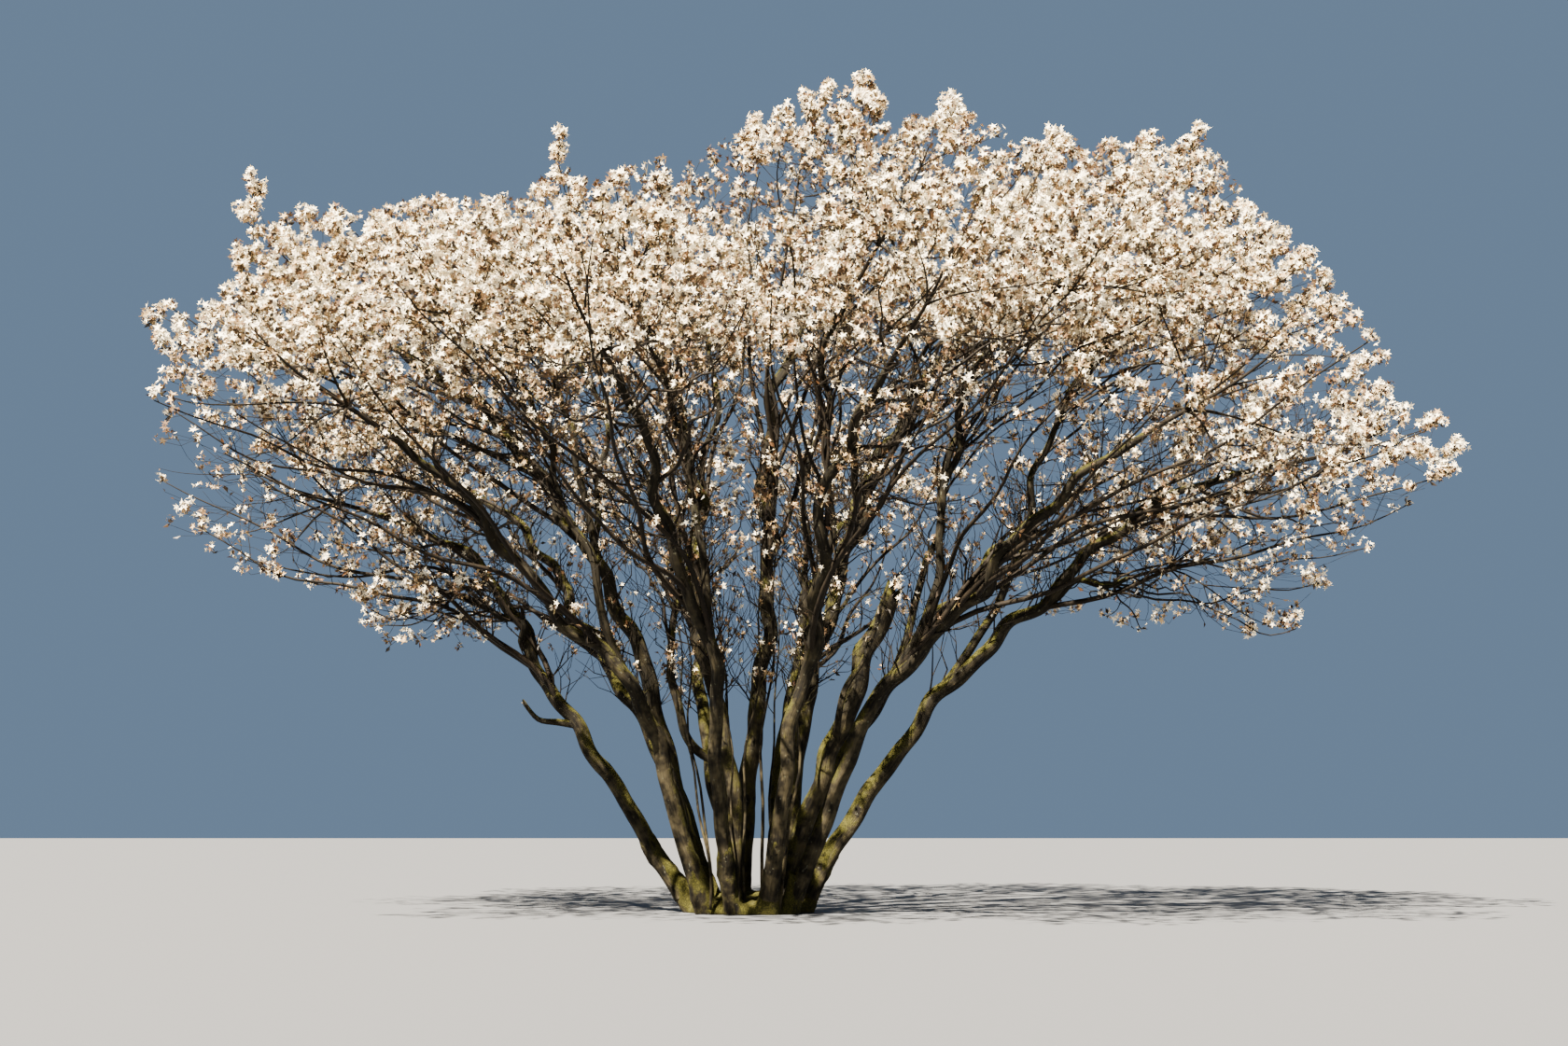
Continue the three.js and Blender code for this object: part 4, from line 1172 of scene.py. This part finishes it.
def puff_at(point):
    """How brightly the flowers are painted for the puffs that they stand in: painted shade between two puffs
    and under one.
    """
    here, above = (sum(size * noise.noise((point + rise * UP) * many + PUFFS_FROM) for many, size in PUFFS)
                   for rise in (0, UNDERSIDE))
    middling, adds, takes, most = PUFF_TONE
    return np.clip(middling + adds * here - takes * max(above - here, 0), 0.0, most)


# Thin side twigs leave the limbs and the long thin limbs below the masses too, and fork. They make the brown
# haze inside the vase.
SIDE_GAP = dict(limb=0.125, sweep=0.22)  # between two side twigs
SIDE_START = 1.2  # the lowest one's height
SIDE_LAST = 0.96  # the last one leaves before this share of the limb's length
SIDE_WITHIN = 0.92  # they end inside this share of the dome
SIDE_SPOT = (0.1, 0.9)  # where in its own gap each one stands
SIDE_AHEAD = 0.03  # how far apart two places are that give the limb's direction
SIDE_TURN_UP = 0.45  # how far upwards it turns aside
SIDE_AIM = (0.45, 0.8, 0.25)  # how far one goes on along its limb, aside and up
SIDE_BEND = (0.8, 0.55)  # how far it sets off aside, and turns up at its tip
SIDE_LENGTH = (0.20, 0.72)
SIDE_UNEVEN = (0.7, 0.3)
SIDE_ROOT = (0.0038, 0.0080)
SIDE_SHARE = 0.55  # or this share of its limb's radius where that is less
SIDE_CROOK = 0.06  # as a share of its length
FORKS = 2
FORKS_FROM = (0.25, 0.9)  # where on a side twig they leave
FORK_AIM = (0.6, 0.7, 0.4)
FORK_CLIMB = 0.6
FORK_LENGTH = (0.12, 0.36)
FORK_SHORTER = (1.25, 0.6)  # how long one is for where it leaves
FORK_GIRTH = (0.6, 0.4)  # and how thick


def side_twigs(path, radii, gap, growth, rng):
    """Thin forked twigs along a limb, given by close points of its middle line and its radii."""
    along = np.concatenate([[0], np.cumsum(np.linalg.norm(np.diff(path, axis=0), axis=1))])
    count = int(along[-1] / gap)
    spots = (np.arange(count) + rng.uniform(*SIDE_SPOT, count)) * gap
    roots = points_at(spots, along, path)
    onward = unit(points_at(spots + SIDE_AHEAD, along, path) - roots)
    turn = unit(unit(np.cross(onward, rng.normal(0, 1, (count, 3)))) + SIDE_TURN_UP * UP)
    way = unit(SIDE_AIM[0] * onward + SIDE_AIM[1] * turn + SIDE_AIM[2] * UP)
    length = rng.uniform(*SIDE_LENGTH, count) * (SIDE_UNEVEN[0] + SIDE_UNEVEN[1] * rng.random(count))
    ends = roots + length[:, None] * way
    inside = np.linalg.norm((ends - DOME_MIDDLE) / DOME_SIZE, axis=1) < SIDE_WITHIN
    high = (roots[:, 2] > SIDE_START) & (ends[:, 2] > SIDE_START)
    kept = inside & in_outline(ends, TRIM) & high & (spots < SIDE_LAST * along[-1])
    roots, onward, way, turn, length, ends = (part[kept] for part in (roots, onward, way, turn, length, ends))
    thick = SIDE_SHARE * np.interp(spots[kept], along, radii)
    girth = np.minimum(thick, SIDE_ROOT[0] + (SIDE_ROOT[1] - SIDE_ROOT[0]) * length / SIDE_LENGTH[1])
    leaving, arriving = unit(onward + SIDE_BEND[0] * turn), unit(way + SIDE_BEND[1] * UP)
    curves = bent(roots, leaving, ends, arriving, RINGS["side"])
    curves = crooked(curves, SIDE_CROOK * length[:, None], rng)
    for curve, root_girth in zip(curves, girth):
        growth.add("side", curve, root_girth, SHOOT_TIP)
    if not len(curves):
        return
    parent = np.repeat(np.arange(len(curves)), FORKS)
    share = rng.uniform(*FORKS_FROM, len(parent))
    starts = curves[parent, (share * RINGS["side"]).astype(int)]
    turn = unit(np.cross(way[parent], rng.normal(0, 1, (len(parent), 3))))
    aim = unit(FORK_AIM[0] * way[parent] + FORK_AIM[1] * turn + FORK_AIM[2] * UP)
    reach = rng.uniform(*FORK_LENGTH, len(parent)) * (FORK_SHORTER[0] - FORK_SHORTER[1] * share)
    ends = starts + reach[:, None] * aim
    forks = bent(starts, unit(way[parent] + turn), ends, unit(aim + FORK_CLIMB * UP), RINGS["fork"])
    girth = FORK_GIRTH[0] * girth[parent] * (1 - FORK_GIRTH[1] * share)
    shown = in_outline(forks[:, -1], TRIM)
    for curve, root_girth in zip(forks[shown], girth[shown]):
        growth.add("fork", curve, root_girth, SHOOT_TIP)


SECTORS = ("east", "northeast", "northwest", "west", "southwest", "southeast")


def sector(mass):
    """The sixth part of the crown that a mass lies in."""
    bearing = np.degrees(np.arctan2(mass["heart"][1], mass["heart"][0]))
    return SECTORS[int((bearing + 30) % 360 // 60)]


# How full of bunches a twig is, and how bright they are painted, as painted light and shade, for where it
# ends. Each pair inside a pair is again where something begins and how much further on it is full.
TIER_LEAST = 0.06
OUTER = ((3.6, 0.5), 0.9)  # so far out the hollows between puffs close, up to this share
OUTER_UP = ((2.45, 0.35), 0.3)  # less so this low down, but for this share
PUFF_LEAST = 0.15
SPIKE_TONE = (1.3, 0.9)
FULLNESS = (0.20, 0.82)
TOP_FULL = ((3.5, 0.8), 0.66)


def blossom_at(mass, kind, end):
    """How many bunches a twig bears for its kind, and their painted light, which picks their colours as
    painted light and shade.
    """
    light = light_at(end) * (TIER_LEAST + (1 - TIER_LEAST) * tier_at(mass, end))
    outer = min(OUTER[1], ramp(np.hypot(*end[:2]), *OUTER[0])) * max(OUTER_UP[1], ramp(end[2], *OUTER_UP[0]))
    puff = max(puff_at(end), PUFF_LEAST + mass["least"], outer)
    if kind == "spike":
        light, puff = SPIKE_TONE
    fullness = max(FULLNESS[0] + FULLNESS[1] * puff, TOP_FULL[1] * ramp(end[2], *TOP_FULL[0]))
    return light * fullness, min(1, light * puff)


NEAR = 1.5  # limbs within this many spreads of a mass's heart can be in the way of its twigs
LIMB_POINTS = np.linspace(0, 1, 60)
share_out(masses)
limb_beads = np.vstack([beads_along(limb.path, limb.radius) for limb in limbs])
twigs = []  # every twig's sector, kind, curve, radii, share of bunches, and the painted light that picks their colours
for mass in masses:
    near = limb_beads[np.linalg.norm(limb_beads[:, :3] - mass["heart"], axis=1) < NEAR * mass["spread"]]
    rng = np.random.default_rng(mass["seed"])
    growth = Growth()
    grow_main(mass, near, growth)
    grow_sweeps(mass, growth, rng)
    grow_spikes(mass, growth, rng)
    grow_shoots(mass, growth, rng)
    sweeps = [i for i, kind in enumerate(growth.kinds) if kind == "sweep"]
    line, girth = mass["limb"].line(LIMB_POINTS), mass["limb"].girth_at(LIMB_POINTS)
    side_twigs(line, girth, SIDE_GAP["limb"], growth, rng)
    for i in sweeps:
        side_twigs(growth.curves[i], growth.radii[i], SIDE_GAP["sweep"], growth, rng)
    for kind, curve, radii in zip(growth.kinds, growth.curves, growth.radii):
        twigs.append((sector(mass), kind, curve, radii, *blossom_at(mass, kind, curve[-1])))

DARK_TWIG = (0.003, 0.0020, 0.0012, 1)
BROWN_TWIG = (0.009, 0.0062, 0.0034, 1)
GREY_TWIG = (0.020, 0.0155, 0.0085, 1)


def twig_paint():
    """Young bark: dark reddish brown, with paler grey skin here and there."""
    paint = Paint("twig_bark", Specular_IOR_Level=0.12)
    place = paint.place()
    patches = paint.noise(place, scale=9.0, detail=3.0)
    fine = paint.noise(place, scale=120.0, detail=3.0)
    colour = paint.mix(paint.rising(patches, 0.38, 0.62), DARK_TWIG, BROWN_TWIG)
    colour = paint.mix(paint.rising(fine, 0.45, 0.7) * 0.4, colour, GREY_TWIG)
    paint.surface(colour, roughness=0.72, bump=fine, strength=0.4, distance=0.002)
    return paint.material


twig_bark = twig_paint()
TWIG_POINT = 0.012  # how far a twig's closed point stands out from its last ring


def twig_mesh(chosen):
    """The vertices and faces of many twigs, given by kind, curve and radii, each closed to a point."""
    vertices, faces, shift = [], [], 0
    for kind, sides in SIDES.items():
        those = [(curve, radii) for kind_of, curve, radii in chosen if kind_of == kind]
        if not those:
            continue
        paths = np.array([curve for curve, _ in those])
        radii = np.repeat(np.array([r for _, r in those])[:, :, None], sides, axis=2)
        block, quads, index = tubes(paths, radii)
        last = paths[:, -1] + unit(paths[:, -1] - paths[:, -2]) * TWIG_POINT
        apex = np.arange(len(last))[:, None] + len(block)
        ring = index[:, -1]
        tips = np.stack([ring, np.roll(ring, -1, axis=1), np.repeat(apex, sides, axis=1)], axis=-1)
        vertices += [block, last]
        faces += [quads + shift, tips.reshape(-1, 3) + shift]
        shift += len(block) + len(last)
    return np.vstack(vertices), faces


def mass_nodes(name):
    """The nodes of the masses of blossom in one sector."""
    return [f"blossom_{mass['name']}" for mass in masses if sector(mass) == name]


for name in SECTORS:
    chosen = [(kind, curve, radii) for sector_of, kind, curve, radii, *_ in twigs if sector_of == name]
    vertices, faces = twig_mesh(chosen)
    piece = add_piece(f"twigs_{name}", vertices, faces, [twig_bark])
    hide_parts(*mass_nodes(name))

# Young shoots: slender new stems that have come up from the root crown between the old ones. They have smooth
# grey-brown bark, and carry coppery leaves and a few flowers higher up.
YOUNG = (  # where each stands and ends: bearing and distance out, then those of its end and its height
    ((-58, 0.35), (-42, 0.62, 2.15), 0.015),
    ((-95, 0.27), (-80, 0.40, 2.55), 0.011),
    ((20, 0.20), (10, 0.45, 2.70), 0.012),
    ((175, 0.10), (150, 0.30, 2.60), 0.012),
    ((-160, 0.25), (-150, 0.55, 2.20), 0.011),
    ((60, 0.25), (70, 0.60, 2.40), 0.011),
    ((-30, 0.10), (-60, 0.30, 2.85), 0.013),
    ((-150, 0.38), (-166, 0.78, 1.90), 0.010),
    ((-128, 0.38), (-150, 0.60, 2.15), 0.010),
    ((-100, 0.36), (-112, 0.50, 1.95), 0.008),
    ((-75, 0.36), (-35, 0.55, 2.05), 0.009),
)
YOUNG_TIP = 0.003
YOUNG_FOOT = 0.03  # they start at this height, inside the root crown
YOUNG_RINGS = 18
YOUNG_BARE = 5  # rings up to where their side twigs begin
YOUNG_GAP = 0.09
YOUNG_LEAN = 0.5  # how far from upright they set off
YOUNG_CROOK = 0.035
YOUNG_SEED = 811
YOUNG_SHARES = (0.05, 0.05)  # of bunches, and of painted light on them
young_bark = bark_paint("young_bark", moss_share=0.02)
growth = Growth()
rng = np.random.default_rng(YOUNG_SEED)
for foot, end, girth in YOUNG:
    start = polar(*foot, YOUNG_FOOT)
    end = polar(*end)
    leaving = unit(UP + YOUNG_LEAN * unit(end - start))
    curve = bent_one(start, leaving, end, unit(end - start + UP), YOUNG_RINGS)
    curve = crooked_one(curve, YOUNG_CROOK, rng)
    growth.add("sweep", curve, girth, YOUNG_TIP)
    side_twigs(curve[YOUNG_BARE:], growth.radii[-1][YOUNG_BARE:], YOUNG_GAP, growth, rng)
shoots = list(zip(growth.kinds, growth.curves, growth.radii))
twigs += [("young", *shoot, *YOUNG_SHARES) for shoot in shoots]
vertices, faces = twig_mesh(shoots)
piece = add_piece("young_shoots", vertices, faces, [young_bark], grain=vertices)
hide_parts("root_crown")

# The blossom: upright sprays of cream-white flowers, bunched at the ends of the shoots and thickest on the
# upper and outer side of every mass. A flower has five narrow petals, and a spray has a thin bronze stalk.
BLOSSOM_SEED = 71
BEARING = dict(  # bunches on a twig in full light, how near its tip they stand, and the share that bears any
    shoot=(2.0, 1.0, 0.8),
    main=(3.8, 1.0, 0.6),
    sweep=(4.4, 1.3, 0.35),
    spike=(5.0, 1.3, 0.55),
    side=(2.2, 1.6, 0.6),
    fork=(1.1, 1.6, 0.6),
)
BUNCHES_LEAST = 0.27  # in deep shade there are this share of those
LAST_SPOT = 0.999
BUNCH = (0.35, 2.25)  # sprays in one, beyond the first, in shade and in full light
BUNCH_SIZE = 0.022
BUNCH_TONE = 0.24  # how much the painted light of the bunches on a twig differs at random
SPRAY_AIM = (0.65, 0.75, 0.60)  # how far a spray points along its twig, aside and up
SPRAY_TRIM = 0.04
SPRAY_LENGTH = 0.079
SPRAY_SIZES = (0.75, 1.2)
FLOWERS = dict(  # the height and distance off the stalk of each flower of a full and of a poor spray
    full=((0.38, 0.28), (0.62, 0.31), (0.82, 0.24), (1.00, 0.05)),
    poor=((0.60, 0.24), (0.95, 0.10)),
)
POOR_BELOW = 0.30  # sprays with less light than this are poor
POOR_SIZE = 0.80
FLOWER_TURN = 2.4  # how far each next flower is turned round the stalk
FLOWER_OUT = (0.45, 2)  # how far one looks outwards, and how much more the further it stands off
FLOWER_UP = (0.1, 0.9)
FLOWER_LOOSE = dict(turn=0.3, place=0.03, facing=0.25)
PETAL_COUNT = 5
PETAL_REACH = 0.31
PETAL_REACHES = (0.88, 1.12)
PETAL_WIDTH = 0.62
PETAL_ROOT = 1.15  # a petal is one triangle, and so much broader at its root
PETAL_BACK = 0.08
PETAL_CUP = 0.30
PETAL_CUPS = (0.2, 1.5)
PETAL_LOOSE = 0.12
STALK_WIDTH = 0.045
STALK_TOP = 0.9
STALK_GREEN = (0.16, 0.12, 0.045, 1)
SPRAY_KINDS = 24
# The cream and the dark brown petals are white petals painted darker, as painted shade where the crown shades
# them, in two steps.
PETALS = dict(  # colour, its share in shade, and its share in full light
    petal_white=((0.950, 0.862, 0.655, 1), 0.40, 0.86),
    petal_painted_half_shade=((0.430, 0.295, 0.148, 1), 0.32, 0.09),
    petal_painted_shade=((0.108, 0.060, 0.027, 1), 0.28, 0.05),
)


def upright(directions, spins):
    """For each direction, three axes square to each other, the last along it, turned by a spin."""
    helper = np.where(np.abs(directions[:, 2:]) < 0.9, [[0, 0, 1.0]], [[1.0, 0, 0]])
    first = unit(np.cross(helper, directions))
    second = np.cross(directions, first)
    c, s = np.cos(spins)[:, None], np.sin(spins)[:, None]
    return np.stack([c * first + s * second, c * second - s * first, directions], axis=1)


def flower_spray(flowers, rng):
    """One spray: its flowers' petals and its stalk, as triangles, for a spray one unit long."""
    triangles = []
    turn = rng.uniform(0, 2 * np.pi)
    for height, off in flowers:
        turn += FLOWER_TURN + rng.normal(0, FLOWER_LOOSE["turn"])
        outward = np.array([np.cos(turn), np.sin(turn), 0])
        middle = off * outward + height * UP + rng.normal(0, FLOWER_LOOSE["place"], 3)
        facing = outward * (FLOWER_OUT[0] + FLOWER_OUT[1] * off) + UP * rng.uniform(*FLOWER_UP)
        facing = unit(facing + rng.normal(0, FLOWER_LOOSE["facing"], 3))
        (right, front, ahead), = upright(facing[None], rng.uniform(0, TURN, 1))
        for petal in range(PETAL_COUNT):
            angle = 2 * np.pi * petal / PETAL_COUNT + rng.normal(0, PETAL_LOOSE)
            along = np.cos(angle) * right + np.sin(angle) * front
            across = np.cross(ahead, along)
            reach = PETAL_REACH * rng.uniform(*PETAL_REACHES)
            root = middle - PETAL_BACK * along
            half = PETAL_WIDTH / 2 * PETAL_REACH * PETAL_ROOT * across
            tip = middle + reach * along + PETAL_CUP * rng.uniform(*PETAL_CUPS) * reach * ahead
            triangles.append([root - half, root + half, tip])
    wide = STALK_WIDTH * np.array([np.cos(turn), np.sin(turn), 0])
    triangles.append([-wide, wide, STALK_TOP * UP])
    return np.array(triangles)


def spots_along(rng):
    """Where sprays stand: for each its root, the way it grows, how much light it has, and its sector."""
    roots, ways, lights, sectors, shown = [], [], [], [], []
    for sector_of, kind, curve, _, light, tone in twigs:
        most, closeness, bearing = BEARING[kind]
        bunches = rng.poisson(most * (BUNCHES_LEAST + (1 - BUNCHES_LEAST) * light))
        if not bunches:
            continue
        shares = 1 - rng.random(bunches) ** closeness * bearing
        shares[0] = 1
        sizes = 1 + rng.poisson(BUNCH[0] + (BUNCH[1] - BUNCH[0]) * light, bunches)
        spot = np.repeat(np.minimum(shares, LAST_SPOT) * (len(curve) - 1), sizes)
        low = spot.astype(int)
        step = curve[low + 1] - curve[low]
        onward = unit(step)
        apart = unit(rng.normal(0, 1, (len(spot), 3)))
        back = BUNCH_SIZE * rng.random((len(spot), 1))
        roots.append(curve[low] + step * (spot - low)[:, None] - back * onward)
        ways.append(unit(SPRAY_AIM[0] * onward + SPRAY_AIM[1] * apart + SPRAY_AIM[2] * UP))
        lights.append(np.repeat(np.clip(tone + rng.normal(0, BUNCH_TONE, bunches), 0, 1), sizes))
        sectors += [sector_of] * len(spot)
        shown.append(in_outline(roots[-1], SPRAY_TRIM) | (kind == "spike"))
    shown = np.concatenate(shown)
    return [np.concatenate(rows)[shown] for rows in (roots, ways, lights)] + [np.array(sectors)[shown]]


def dealt(colours, lights, rng):
    """Which of the colours each spray or leaf has: their shares change from shade to full light, as painted
    light and shade.
    """
    dim, bright = np.array([row[1:] for row in colours.values()]).T
    bounds = np.cumsum(dim + (bright - dim) * lights[:, None], axis=1)
    return np.minimum((rng.random((len(lights), 1)) > bounds).sum(axis=1), len(colours) - 1)


rng = np.random.default_rng(BLOSSOM_SEED)
roots, ways, lights, sectors = spots_along(rng)
sectors[sectors == "young"] = "southeast"
sizes = SPRAY_LENGTH * rng.uniform(*SPRAY_SIZES, len(roots))
petal_paints = [plain_paint(name, row[0], 0.6, Specular_IOR_Level=0.2) for name, row in PETALS.items()]
stalk_paint = plain_paint("stalk_green", STALK_GREEN, 0.6)
poor = lights < POOR_BELOW
sizes[poor] *= POOR_SIZE
shapes = {kind: np.array([flower_spray(flowers, rng) for _ in range(SPRAY_KINDS)])
          for kind, flowers in FLOWERS.items()}
shades = dealt(PETALS, lights, rng)
kind_of = rng.integers(SPRAY_KINDS, size=len(roots))
axes = upright(ways, rng.uniform(0, 2 * np.pi, len(roots)))
for name in SECTORS:
    blocks, looks = [], []
    for kind, shape in shapes.items():
        here = (sectors == name) & (poor == (kind == "poor"))
        shape = shape[kind_of[here]] * sizes[here, None, None, None]
        block = np.einsum("ntvc,ncd->ntvd", shape, axes[here]) + roots[here, None, None]
        blocks.append(block.reshape(-1, 3))
        look = np.repeat(shades[here][:, None], shape.shape[1], axis=1)
        if kind == "full":  # its lowest flower is painted one colour darker, as painted shade inside the spray
            look[:, :PETAL_COUNT] = np.minimum(look[:, :PETAL_COUNT] + 1, len(PETALS) - 1)
        look[:, -1] = len(PETALS)
        looks.append(look.ravel())
    vertices = np.vstack(blocks)
    faces = np.arange(len(vertices)).reshape(-1, 3)
    piece = add_piece(f"flowers_{name}", vertices, [faces], [*petal_paints, stalk_paint],
                      np.concatenate(looks), smooth=False)
    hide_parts(*mass_nodes(name))

# The leaves: small, folded and still coppery from the bud. One or two stand under each spray, and some at the
# tips of the shaded shoots inside the crown, where few flowers open.
LEAF_LENGTH = 0.044
LEAF_SIZES = (0.6, 1.25)
LEAF_WIDTH = 0.46
LEAF_BROADEST = 0.45  # this far from its root
LEAF_FOLD = 0.16
LEAF_LOOSE = 0.7
LEAVES_A_SPRAY = (0.8, 2.4)
LEAVES_FROM = (0.1, 0.6)  # how far up a spray's stalk they stand
LEAVES_A_TWIG = 0.5  # leaves at the tip of a shaded twig
SHADED_BELOW = 0.5
# The leaves' colours are dealt by painted light, like the petals': more copper in light, and in shade more of
# the darkest brown, which is partly painted shade.
LEAVES = dict(  # colour, its share in shade, and its share in full light
    leaf_copper=((0.066, 0.028, 0.008, 1), 0.20, 0.45),
    leaf_bronze=((0.038, 0.020, 0.0065, 1), 0.30, 0.35),
    leaf_brown_painted_shade=((0.016, 0.0098, 0.0045, 1), 0.50, 0.20),
)
corner = np.array([LEAF_WIDTH / 2, LEAF_FOLD, LEAF_BROADEST])
leaf_shape = np.array([[0, 0, 0], corner, [0, 0, 1.0], corner * [-1, 1, 1]])
leaf_paints = [plain_paint(name, row[0], 0.45, Specular_IOR_Level=0.4) for name, row in LEAVES.items()]
count = rng.poisson(LEAVES_A_SPRAY[0] + (LEAVES_A_SPRAY[1] - LEAVES_A_SPRAY[0]) * lights)
shaded = [twig for twig in twigs if twig[-1] < SHADED_BELOW]
extra = rng.poisson(LEAVES_A_TWIG, len(shaded))


def joined(of_sprays, of_twigs):
    """One row for each leaf: first those under the sprays, then those at the tips of shaded twigs."""
    return np.concatenate([np.repeat(of_sprays, count, axis=0), np.repeat(of_twigs, extra, axis=0)])


stalks = roots + ways * (sizes * rng.uniform(*LEAVES_FROM, len(roots)))[:, None]
leaf_roots = joined(stalks, [curve[-1] for _, _, curve, *_ in shaded])
leaf_ways = joined(ways, [unit(curve[-1] - curve[-2]) for _, _, curve, *_ in shaded])
leaf_ways = unit(leaf_ways + rng.normal(0, LEAF_LOOSE, leaf_ways.shape))
leaf_sectors = joined(sectors, [sector_of for sector_of, *_ in shaded])
leaf_sectors[leaf_sectors == "young"] = "southeast"
leaf_sizes = LEAF_LENGTH * rng.uniform(*LEAF_SIZES, len(leaf_roots))
leaf_axes = upright(leaf_ways, rng.uniform(0, 2 * np.pi, len(leaf_roots)))
leaf_shades = dealt(LEAVES, joined(lights, [tone for *_, tone in shaded]), rng)
for name in SECTORS:
    here = leaf_sectors == name
    shape = leaf_shape[None] * leaf_sizes[here, None, None]
    vertices = np.einsum("nvc,ncd->nvd", shape, leaf_axes[here]) + leaf_roots[here, None]
    base = 4 * np.arange(here.sum())[:, None, None]
    faces = (base + np.array([[0, 1, 2], [0, 2, 3]])).reshape(-1, 3)
    piece = add_piece(f"leaves_{name}", vertices.reshape(-1, 3), [faces], leaf_paints,
                      np.repeat(leaf_shades[here], 2), smooth=False)
    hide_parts(*mass_nodes(name))

# The studio: a plain grey floor at ground level, blue-grey light from all round, a strong warm key light from
# the upper left with a weak fill from the right, and a camera where the photograph was taken from.
FLOOR_HALF = 60.0
FLOOR_GREY = (0.073, 0.078, 0.087, 1)
BACKDROP_BLUE = (0.24, 0.36, 0.54, 1)
BACKDROP_STRENGTH = 0.62
corners = [(FLOOR_HALF * x, FLOOR_HALF * y, 0) for x, y in ((-1, -1), (1, -1), (1, 1), (-1, 1))]
floor = mesh_object(corners, [[(0, 1, 2, 3)]])
floor.name = "floor"
floor.data.materials.append(plain_paint("pale_floor", FLOOR_GREY, 0.9))

world = bpy.data.worlds.new("studio")
world.use_nodes = True
backdrop = world.node_tree.nodes["Background"]
backdrop.inputs["Color"].default_value = BACKDROP_BLUE
backdrop.inputs["Strength"].default_value = BACKDROP_STRENGTH
bpy.context.scene.world = world


def add_light(name, kind, place, target, energy, colour, size):
    """A lamp that shines from its place towards its target. size is a distance, or an angle for a sun."""
    data = bpy.data.lights.new(name, kind)
    data.energy = energy
    data.color = colour
    if kind == "AREA":
        data.size = size
    else:
        data.angle = size
    light = bpy.data.objects.new(name, data)
    light.location = place
    light.rotation_euler = (Vector(target) - Vector(place)).to_track_quat("-Z", "Y").to_euler()
    bpy.context.scene.collection.objects.link(light)


add_light("key", "SUN", place=(-5, -8.5, 13), target=(0, 0, 0), energy=57.0, colour=(1.0, 0.88, 0.70),
          size=0.012)
add_light("fill", "AREA", place=(14, -12, 7), target=(0, 0, 3), energy=250, colour=(1.0, 0.93, 0.85), size=9)

CAMERA_CLIMB = 8.704  # degrees above the level
CAMERA_LENS = 45  # millimetres, for a picture of the next width
CAMERA_WIDTH = 36
camera = bpy.data.cameras.new("camera")
camera.lens = CAMERA_LENS
camera.sensor_width = CAMERA_WIDTH
camera_object = bpy.data.objects.new("camera", camera)
camera_object.location = VIEWPOINT
camera_object.rotation_euler = (np.radians(90 + CAMERA_CLIMB), 0, 0)
bpy.context.scene.collection.objects.link(camera_object)
bpy.context.scene.camera = camera_object
